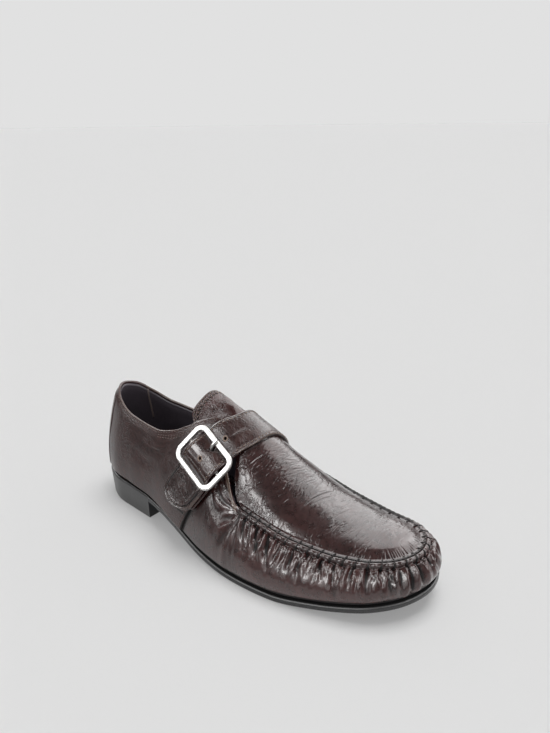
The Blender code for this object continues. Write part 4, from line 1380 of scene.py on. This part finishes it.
def thread_row(line, normals, pitch, long, thick, name="row"):
    """A row of short stitches lying on a line; each is a small rounded bar."""
    arc = arc_length(line)
    count = max(int(arc[-1] / pitch), 1)
    index, bar = ring_faces(len(STITCH_SHAPE), 6)
    bar += [index[0][::-1].tolist(), index[-1].tolist()]
    points, faces = [], []
    for centre in (np.arange(count) + 0.5) * arc[-1] / count:
        first, last, normal = (
            np.array([np.interp(where, arc, table[:, k]) for k in range(3)])
            for where, table in ((centre - long / 2, line), (centre + long / 2, line), (centre, normals))
        )
        side = unit(np.cross(normal, unit(last - first)))
        faces += [[len(points) + corner for corner in face] for face in bar]
        for share, size, lift in STITCH_SHAPE:
            middle = first * (1 - share) + last * share + normal * thick * (lift + STITCH_LIFT)
            points += [middle + (side * math.cos(turn) + normal * math.sin(turn)) * thick / 2 * size
                       for turn in np.arange(6) * math.pi / 3]
    return make_mesh(name, np.array(points), faces)


def line_on_last(at, girth, level):
    """A line over the last, with its normals."""
    step, rise = on_last(at, girth)
    return place(step, rise, level), skin_normal(step, rise)


def join(name, things):
    """Make one piece of several."""
    bpy.ops.object.select_all(action="DESELECT")
    for thing in things:
        thing.select_set(True)
    bpy.context.view_layer.objects.active = things[0]
    bpy.ops.object.join()
    things[0].name = name
    bpy.ops.object.select_all(action="DESELECT")
    return things[0]


def wall_line(places, side, below, level):
    """A line on a wall at given distances below its top edge, with its normals."""
    step = step_at(places, side)
    rise = rise_for(step, wall_top(step) - below)
    return place(step, rise, level), skin_normal(step, rise)


STRAND = (
    # distance from the apron's edge line, height
    (-1.9, -0.9),
    (-1.2, 0.15),
    (0.0, 1.0),
    (1.3, 1.5),
    (2.5, 1.85),
    (3.6, 1.75),
    (4.5, 0.8),
    (HOLE_LINE, -1.0),
)


def make_seam_threads():
    """The hand stitches over the raised seam: one dark strand at every hole."""
    count = int(-np.interp(step_at(SEAM_START + 4, -1), ARC_STEPS, ARC) / STITCH)
    strands = []
    for number in range(-count, count + 1):
        arcs = number * STITCH + np.linspace(1.6, 0.0, len(STRAND))
        step = np.interp(arcs, ARC, ARC_STEPS)
        rise = rise_for(step, wall_top(step) - column(STRAND, 0))
        middle = place(step, rise, column(STRAND, 1))
        strands.append(tube("strand", middle, skin_normal(step, rise), 0.5, 0.5, 8))
    return join("seam_threads", strands)


def strap_edge(inset, girths, level):
    """A line that runs inside the strap's edges and round its tip."""
    centre, across = strap_frame(girths)
    half = smooth(STRAP, 2, girths) / 2 - inset
    back = unit(centre[0] - centre[1])
    turns = np.radians(np.linspace(0, 180, 60))[:, None]
    cap = centre[0] + back * (TIP_LONG - inset) * np.sin(turns) + across[0] * half[0] * np.cos(turns)
    sides = [centre + across * (half * sign)[:, None] for sign in (1, -1)]
    line = np.concatenate([sides[0][::-1], cap[1:-1], sides[1]])
    return line_on_last(line[:, 0], line[:, 1], level - tip_droop(line[:, 1]))


def make_strap_stitches():
    """The row of stitches inside the strap's edges and round its tip."""
    girths = np.linspace(STRAP[0][0], STRAP[-1][0] - 2, 240)
    levels = strap_level(girths)
    levels = np.concatenate([levels[::-1], np.full(58, levels[0]), levels])
    levels = levels + STRAP_THICK - STRAP_STITCH_SINK
    line, normals = strap_edge(STRAP_STITCH_INSET, girths, levels)
    return thread_row(line, normals, *STRAP_STITCH, "strap_stitches")


def make_tongue_stitches():
    """Two rows of stitches inside the tongue's back edge."""
    rows = []
    for inset in TONGUE_ROWS:
        girth = np.linspace(TONGUE_EDGE[0][0] + inset, TONGUE_EDGE[-1][0] - inset, 300)
        at = smooth(TONGUE_EDGE, 1, girth) + inset
        line, normals = line_on_last(at, girth, tongue_face(at, girth) - 0.1)
        rows.append(thread_row(line, normals, *TONGUE_STITCH))
    return join("tongue_stitches", rows)


COLLAR_ROWS = (
    # from, to, count of points, distance below the collar, more of it in front
    (COUNTER_EDGE + 1, 152.0, 400, 1.9, 0.0),
    (84.0, 134.0, 200, 3.6, 2.0),
    (84.0, 134.0, 200, 5.3, 2.0),
)


def make_collar_stitches():
    """The stitches of both quarters: along the collar, two rows more below it, and down the front edge."""
    flat = LAY + OVERLAY - 0.12
    rows = []
    for side in (-1, 1):
        lines = []
        for first, last, count, inset, drop in COLLAR_ROWS:
            places = np.linspace(first, last, count)
            below = inset + drop * ease(places, 84, 108)
            lines.append(wall_line(places, side, below, flat - skived(below)))
        ups = np.linspace(0.04, 0.93, 200)
        step = step_at(smooth(QUARTER_FRONT, 1, ups) - 2.4, side)
        rise = rise_for(step, wall_top(step) * ups)
        lines.append((place(step, rise, flat), skin_normal(step, rise)))
        rows += [thread_row(line, normals, *QUARTER_STITCH) for line, normals in lines]
    return join("collar_stitches", rows)


# ---- materials -----------------------------------------------------------------------


def nodes_for(name):
    """A new material with its node tree and its shader."""
    material = bpy.data.materials.new(name)
    material.use_nodes = True
    tree = material.node_tree
    return material, tree, tree.nodes["Principled BSDF"]


def add(tree, kind, **settings):
    """A new node with some settings."""
    node = tree.nodes.new(kind)
    for key, value in settings.items():
        setattr(node, key, value)
    return node


def noise(tree, where, scale, detail, roughness):
    """A cloudy pattern."""
    node = add(tree, "ShaderNodeTexNoise")
    node.inputs["Scale"].default_value = scale
    node.inputs["Detail"].default_value = detail
    node.inputs["Roughness"].default_value = roughness
    tree.links.new(where, node.inputs["Vector"])
    return node.outputs


def mix_numbers(tree, operation, *values):
    """Arithmetic on numbers and sockets."""
    node = add(tree, "ShaderNodeMath", operation=operation)
    for value, socket in zip(values, node.inputs):
        if isinstance(value, (int, float)):
            socket.default_value = value
        else:
            tree.links.new(value, socket)
    return node.outputs["Value"]


def add_scaled(tree, value, scale, total):
    """A value times a scale, added to a total."""
    return mix_numbers(tree, "MULTIPLY_ADD", value, scale, total)


def ranged(tree, value, start, end):
    """A value carried from one range into another and held at both ends."""
    node = add(tree, "ShaderNodeMapRange")
    for socket, number in zip(("From Min", "From Max", "To Min", "To Max"), (*start, *end)):
        node.inputs[socket].default_value = number
    tree.links.new(value, node.inputs["Value"])
    return node.outputs["Result"]


def ramped(tree, value, low, high, places):
    """A colour that runs from one to another while a value passes between two places."""
    node = add(tree, "ShaderNodeValToRGB")
    for element, position, colour in zip(node.color_ramp.elements, places, (low, high)):
        element.position = position
        element.color = (*colour, 1)
    tree.links.new(value, node.inputs["Fac"])
    return node.outputs["Color"]


def bumped(tree, height, strength, distance):
    """The surface's direction, tilted by a pattern of heights."""
    node = add(tree, "ShaderNodeBump")
    node.inputs["Strength"].default_value = strength
    node.inputs["Distance"].default_value = distance
    tree.links.new(height, node.inputs["Height"])
    return node.outputs["Normal"]


def leather_height(tree, spot, stretch, grain, crackle, folds, lines):
    """Heights of the fine relief in millimetres: a net of cracks, wrinkles, long creases and pores."""
    link = tree.links.new
    # wavy coordinates for the cracks and wrinkles
    drift = noise(tree, spot, 75.0, 2, 0.5)
    wavy = add(tree, "ShaderNodeVectorMath", operation="MULTIPLY_ADD")
    wavy.inputs[1].default_value = (0.004, 0.004, 0.004)
    link(drift["Color"], wavy.inputs[0])
    link(spot, wavy.inputs[2])
    squeeze = add(tree, "ShaderNodeMapping")
    squeeze.inputs["Scale"].default_value = stretch
    link(wavy.outputs["Vector"], squeeze.inputs["Vector"])
    squeezed = squeeze.outputs["Vector"]
    net = add(tree, "ShaderNodeTexVoronoi", feature="DISTANCE_TO_EDGE")
    net.inputs["Scale"].default_value = grain
    link(squeezed, net.inputs["Vector"])
    crack = ranged(tree, net.outputs["Distance"], (0, 0.14), (0, 1))
    wrinkle = noise(tree, squeezed, 620.0, 4, 0.7)["Fac"]
    pore = noise(tree, spot, 1900.0, 3, 0.7)["Fac"]
    # wrinkles come and go over the surface
    patch = ranged(tree, noise(tree, spot, 42.0, 2, 0.5)["Fac"], (0.36, 0.66), (0.12, 1.3))
    height = mix_numbers(tree, "MULTIPLY", crack, crackle)
    height = add_scaled(tree, wrinkle, folds, height)
    # long fine creases: the contour lines of a soft stretched noise
    field = noise(tree, squeezed, 300.0, 3, 0.5)["Fac"]
    away = mix_numbers(tree, "ABSOLUTE", mix_numbers(tree, "SUBTRACT", field, 0.5))
    height = add_scaled(tree, ranged(tree, away, (0, 0.07), (0, 1)), lines, height)
    height = mix_numbers(tree, "MULTIPLY", height, patch)
    return add_scaled(tree, pore, 0.02, height)


def marked(tree, colour, mark):
    """Colour darkened into painted shade where a piece's mark is below 0, and turned to bare leather's
    colour where it is above 2: raw edges, and painted highlights on rims.
    """
    dark = add(tree, "ShaderNodeMix", data_type="RGBA", blend_type="MULTIPLY")
    dark.inputs[0].default_value = 1.0
    tree.links.new(colour, dark.inputs[6])
    tree.links.new(ranged(tree, mark, (-1, 0), (0.08, 1)), dark.inputs[7])
    bare = add(tree, "ShaderNodeMix", data_type="RGBA")
    tree.links.new(ranged(tree, mark, (2.0, 2.6), (0, 1)), bare.inputs[0])
    tree.links.new(dark.outputs[2], bare.inputs[6])
    bare.inputs[7].default_value = (*BARE_EDGE_AND_HIGHLIGHT, 1)
    return bare.outputs[2]


def leather(name, deep, light, rough, crackle, folds, lines, coat,
            stretch=(1, 1, 1), grain=480.0, shine=0.5):
    """Glossy dark leather with cloudy colour; painted shade makes it darker and duller where its piece's
    mark is below 0, and it turns paler above 2, on raw edges and as painted highlights.

    Crackle, folds and lines are depths in millimetres; stretch squeezes the relief along each axis.
    """
    material, tree, shader = nodes_for(name)
    link = tree.links.new
    spot = add(tree, "ShaderNodeTexCoord").outputs["Object"]
    clouds = noise(tree, spot, 28.0, 5, 0.6)["Fac"]
    mottle = noise(tree, spot, 240.0, 4, 0.6)["Fac"]
    cloud = mix_numbers(tree, "MULTIPLY", mix_numbers(tree, "ADD", clouds, mottle), 0.5)
    normal = bumped(tree, leather_height(tree, spot, stretch, grain, crackle, folds, lines), 1.0, MM)
    link(normal, shader.inputs["Normal"])
    link(normal, shader.inputs["Coat Normal"])
    mark = add(tree, "ShaderNodeAttribute", attribute_name="shade_and_edge_mark").outputs["Fac"]
    colour = ramped(tree, cloud, deep, light, (0.36, 0.64))
    link(marked(tree, colour, mark), shader.inputs["Base Color"])
    dull = ranged(tree, mottle, (0, 1), (rough - 0.06, rough + 0.12))
    dull = mix_numbers(tree, "ADD", dull, ranged(tree, mark, (-0.5, -1.3), (0, 0.5)))
    link(dull, shader.inputs["Roughness"])
    shader.inputs["Specular IOR Level"].default_value = shine
    shader.inputs["Coat Weight"].default_value = coat
    link(ranged(tree, mark, (-0.9, -0.2), (0, coat)), shader.inputs["Coat Weight"])
    shader.inputs["Coat Roughness"].default_value = 0.1
    return material


def plain(name, colour, rough, metallic=0.0, grain=0.1, grain_size=1500.0):
    """Rubber, thread, metal or lining: one colour with a fine uneven surface."""
    material, tree, shader = nodes_for(name)
    link = tree.links.new
    spot = add(tree, "ShaderNodeTexCoord").outputs["Object"]
    fine = noise(tree, spot, grain_size, 5, 0.5)["Fac"]
    dark = [c * 0.8 for c in colour]
    pale = [min(c * 1.15, 1.0) for c in colour]
    link(ramped(tree, fine, dark, pale, (0.3, 0.7)), shader.inputs["Base Color"])
    link(bumped(tree, fine, grain, 0.0002), shader.inputs["Normal"])
    dull = ranged(tree, fine, (0, 1), (max(rough - 0.05, 0.02), rough + 0.08))
    link(dull, shader.inputs["Roughness"])
    shader.inputs["Metallic"].default_value = metallic
    return material


BROWN_DEEP = (0.020, 0.0050, 0.0045)
BROWN_LIGHT = (0.060, 0.0175, 0.0155)
# bare leather's colour: for raw edges, and for painted highlights along rims
BARE_EDGE_AND_HIGHLIGHT = (0.22, 0.15, 0.115)
vamp_leather = leather(
    "vamp_leather", BROWN_DEEP, BROWN_LIGHT, 0.26,
    crackle=0.0, folds=0.05, lines=0.12, coat=0.75, stretch=(1.0, 0.2, 0.5))
# a lighter copy of the vamp leather: painted light for the brightly lit lower walls
wall_leather = leather(
    "wall_leather", (0.030, 0.0080, 0.0070), (0.090, 0.027, 0.024), 0.26,
    crackle=0.0, folds=0.05, lines=0.06, coat=0.9, stretch=(1.0, 1.0, 0.22))
quarter_leather = leather(
    "quarter_leather", (0.024, 0.0065, 0.0055), (0.064, 0.0175, 0.0145), 0.30,
    crackle=0.05, folds=0.10, lines=0.08, coat=0.25, stretch=(0.7, 1, 1), shine=0.45)
strap_leather = leather(
    "strap_leather", BROWN_DEEP, (0.064, 0.020, 0.0155), 0.26,
    crackle=0.08, folds=0.24, lines=0.06, coat=0.7, stretch=(0.9, 0.9, 0.5))
tongue_leather = leather(
    "tongue_leather", (0.040, 0.010, 0.009), (0.095, 0.026, 0.022), 0.26,
    crackle=0.12, folds=0.16, lines=0.06, coat=0.6, grain=600.0, shine=0.4)
# painted lighter than the dark lining's own colour, standing in for its sheen
lining_leather = plain("lining_leather", (0.15, 0.125, 0.15), 0.42, grain=0.25)
sock_leather = plain("sock_leather", (0.012, 0.012, 0.018), 0.6, grain=0.25)
sole_rubber = plain("sole_rubber", (0.048, 0.048, 0.049), 0.2)
# painted highlight: a lighter rubber for the sole's upper rim
sole_rim_highlight = plain("sole_rim_highlight", (0.17, 0.17, 0.17), 0.35, grain=0.2)
# the heel's rubber in two copies: painted lighter for its sides, standing in for the floor's reflection,
# and painted near black for its breast, which lies in shade
heel_rubber = plain("heel_rubber", (0.08, 0.08, 0.08), 0.34, grain=0.2)
shaded_breast_rubber = plain("shaded_breast_rubber", (0.012, 0.012, 0.013), 0.6, grain=0.2)
buckle_metal = plain("buckle_metal", (0.78, 0.77, 0.75), 0.36, metallic=1.0, grain=0.02, grain_size=300)
dark_thread = plain("dark_thread", (0.012, 0.008, 0.008), 0.8, grain=0.5, grain_size=4000)
brown_thread = plain("brown_thread", (0.17, 0.11, 0.09), 0.6, grain=0.5, grain_size=4000)
light_thread = plain("light_thread", (0.42, 0.31, 0.25), 0.6, grain=0.5, grain_size=4000)
seam_tape = plain("seam_tape", (0.34, 0.26, 0.24), 0.6, grain=0.3)
worn_edge = plain("worn_edge", (0.30, 0.20, 0.15), 0.6, grain=0.4, grain_size=2500)


def dress(thing, material, slot, *nodes):
    """Give a piece its material, let it ride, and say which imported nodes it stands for."""
    thing.data.materials.clear()
    thing.data.materials.append(material)
    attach(thing, "root")
    if nodes:
        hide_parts(*nodes)
    return thing


def second_material(thing, material, chosen):
    """Give another material to the faces whose direction is chosen."""
    thing.data.materials.append(material)
    for face in thing.data.polygons:
        if chosen(face.normal):
            face.material_index = 1


dress(make_mudguard(), wall_leather, "upper", "upper")
dress(make_apron(), vamp_leather, "upper")
dress(make_margin(), wall_leather, "upper")
dress(make_lining(), lining_leather, "upper")
dress(make_lining_seam(), seam_tape, "upper")
dress(make_seam_threads(), dark_thread, "upper")
dress(make_quarter("quarter_outer", -1), quarter_leather, "quarter_lateral", "quarter_lateral")
dress(make_quarter("quarter_inner", 1), quarter_leather, "quarter_medial", "quarter_medial")
dress(make_counter(), quarter_leather, "heel_counter", "heel_counter")
dress(make_tongue(), tongue_leather, "tongue", "tongue")
dress(make_strap(), strap_leather, "strap", "strap")
dress(make_hole_rims(), worn_edge, "strap")
dress(make_tab(), strap_leather, "buckle_tab", "buckle_tab")
dress(make_frame(), buckle_metal, "buckle_frame", "buckle_frame")
dress(make_bar(), buckle_metal, "buckle_bar", "buckle_bar")
dress(make_prong(), buckle_metal, "buckle_prong", "buckle_prong")
outsole = dress(make_outsole(), sole_rubber, "outsole", "outsole")
# the up-facing faces of the sole's rim get the painted highlight
second_material(outsole, sole_rim_highlight, lambda normal: 0.35 < normal.z < 0.96)
heel = dress(make_heel(), heel_rubber, "heel", "heel")
# painted shade: the heel's front face gets the near-black copy
second_material(heel, shaded_breast_rubber, lambda normal: normal.x > 0.7)
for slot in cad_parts["insole"].material_slots:
    slot.material = sock_leather

dress(make_strap_stitches(), light_thread, "strap")
dress(make_tongue_stitches(), light_thread, "tongue")
dress(make_collar_stitches(), brown_thread, "quarter_lateral")


# ---- floor, light and camera ---------------------------------------------------------

FLOOR_PAINT = 0.60
FLOOR_GLOW = 0.235
BACKDROP = 0.753          # brightness of the pale backdrop
ROOM = 0.11               # brightness of the room as the leather mirrors it
AIR = 0.35                # even light from all round
LENS = 33.34
CAMERA_PLACE = (0.2913, -0.3375, 0.2977)
CAMERA_TURN = (70.006, 0.613, 37.860)

# windows and soft boxes that show in reflections only
MIRRORED_LIGHTS = (
    # name, azimuth, elevation, width in degrees, brightness
    ("back_window_left", 150, 38, 55, 2.5),
    ("back_window_right", -155, 38, 55, 2.6),
    ("front_box", 3, 50, 14, 12.0),
    ("side_box", -38, 39, 20, 11.5),
    ("left_box", -95, 32, 32, 6.0),
    ("right_box", 80, 32, 30, 6.0),
    ("low_front", 8, 10, 50, 1.1),
    ("low_box", -8, 21, 20, 8.5),
    ("low_side", -40, 11, 14, 4.5),
)


def make_floor():
    """A wide pale table top, lit a little from below so that shadows stay light."""
    bpy.ops.mesh.primitive_circle_add(vertices=64, radius=40, fill_type="NGON")
    floor = bpy.context.object
    floor.name = "floor"
    material, _, shader = nodes_for("floor_paper")
    shader.inputs["Base Color"].default_value = (*[FLOOR_PAINT] * 3, 1)
    shader.inputs["Roughness"].default_value = 1.0
    shader.inputs["Specular IOR Level"].default_value = 0.0
    shader.inputs["Emission Color"].default_value = (1, 1, 1, 1)
    shader.inputs["Emission Strength"].default_value = FLOOR_GLOW
    floor.data.materials.append(material)


def around_shoe(azimuth, elevation):
    """A direction from the shoe; azimuth 0 is on its outer side and 90 beyond the toe."""
    turn, rise = math.radians(azimuth), math.radians(elevation)
    return Vector((math.cos(rise) * math.sin(turn), -math.cos(rise) * math.cos(turn), math.sin(rise)))


def soft_sun(name, azimuth, elevation, spread, brightness):
    """A far, wide, even light; brightness is that of its disc."""
    data = bpy.data.lights.new(name, "SUN")
    data.angle = math.radians(spread)
    data.energy = brightness * math.pi * math.sin(data.angle / 2) ** 2
    light = bpy.data.objects.new(name, data)
    light.rotation_euler = around_shoe(azimuth, elevation).to_track_quat("Z", "Y").to_euler()
    bpy.context.collection.objects.link(light)
    return light


def make_flag():
    """A dark cloth beside the table, seen only in reflections on the outer side."""
    bpy.ops.mesh.primitive_plane_add(size=4, location=(0, -2.13, 0.002))
    flag = bpy.context.object
    flag.name = "dark_cloth"
    flag.data.materials.append(plain("cloth_black", (0.02, 0.02, 0.02), 0.9))
    flag.visible_camera = False
    flag.visible_diffuse = False
    flag.visible_shadow = False


make_floor()
make_flag()
for name, azimuth, elevation, spread, brightness in MIRRORED_LIGHTS:
    soft_sun(name, azimuth, elevation, spread, brightness).visible_diffuse = False
soft_sun("top_light", 165, 78, 36, 5.2).visible_glossy = False

world = bpy.data.worlds.new("studio")
world.use_nodes = True
tree = world.node_tree
ray = add(tree, "ShaderNodeLightPath").outputs
air_or_room = ranged(tree, ray["Is Glossy Ray"], (0, 1), (AIR, ROOM))
level = add(tree, "ShaderNodeMapRange")
tree.links.new(ray["Is Camera Ray"], level.inputs["Value"])
tree.links.new(air_or_room, level.inputs["To Min"])
level.inputs["To Max"].default_value = BACKDROP
tree.links.new(level.outputs["Result"], tree.nodes["Background"].inputs["Strength"])
tree.nodes["Background"].inputs["Color"].default_value = (1.0, 1.0, 1.0, 1)
bpy.context.scene.world = world
bpy.context.scene.view_settings.view_transform = "Standard"

view = bpy.data.cameras.new("view")
view.lens = LENS
camera = bpy.data.objects.new("view", view)
camera.location = CAMERA_PLACE
camera.rotation_euler = [math.radians(angle) for angle in CAMERA_TURN]
bpy.context.collection.objects.link(camera)
bpy.context.scene.camera = camera
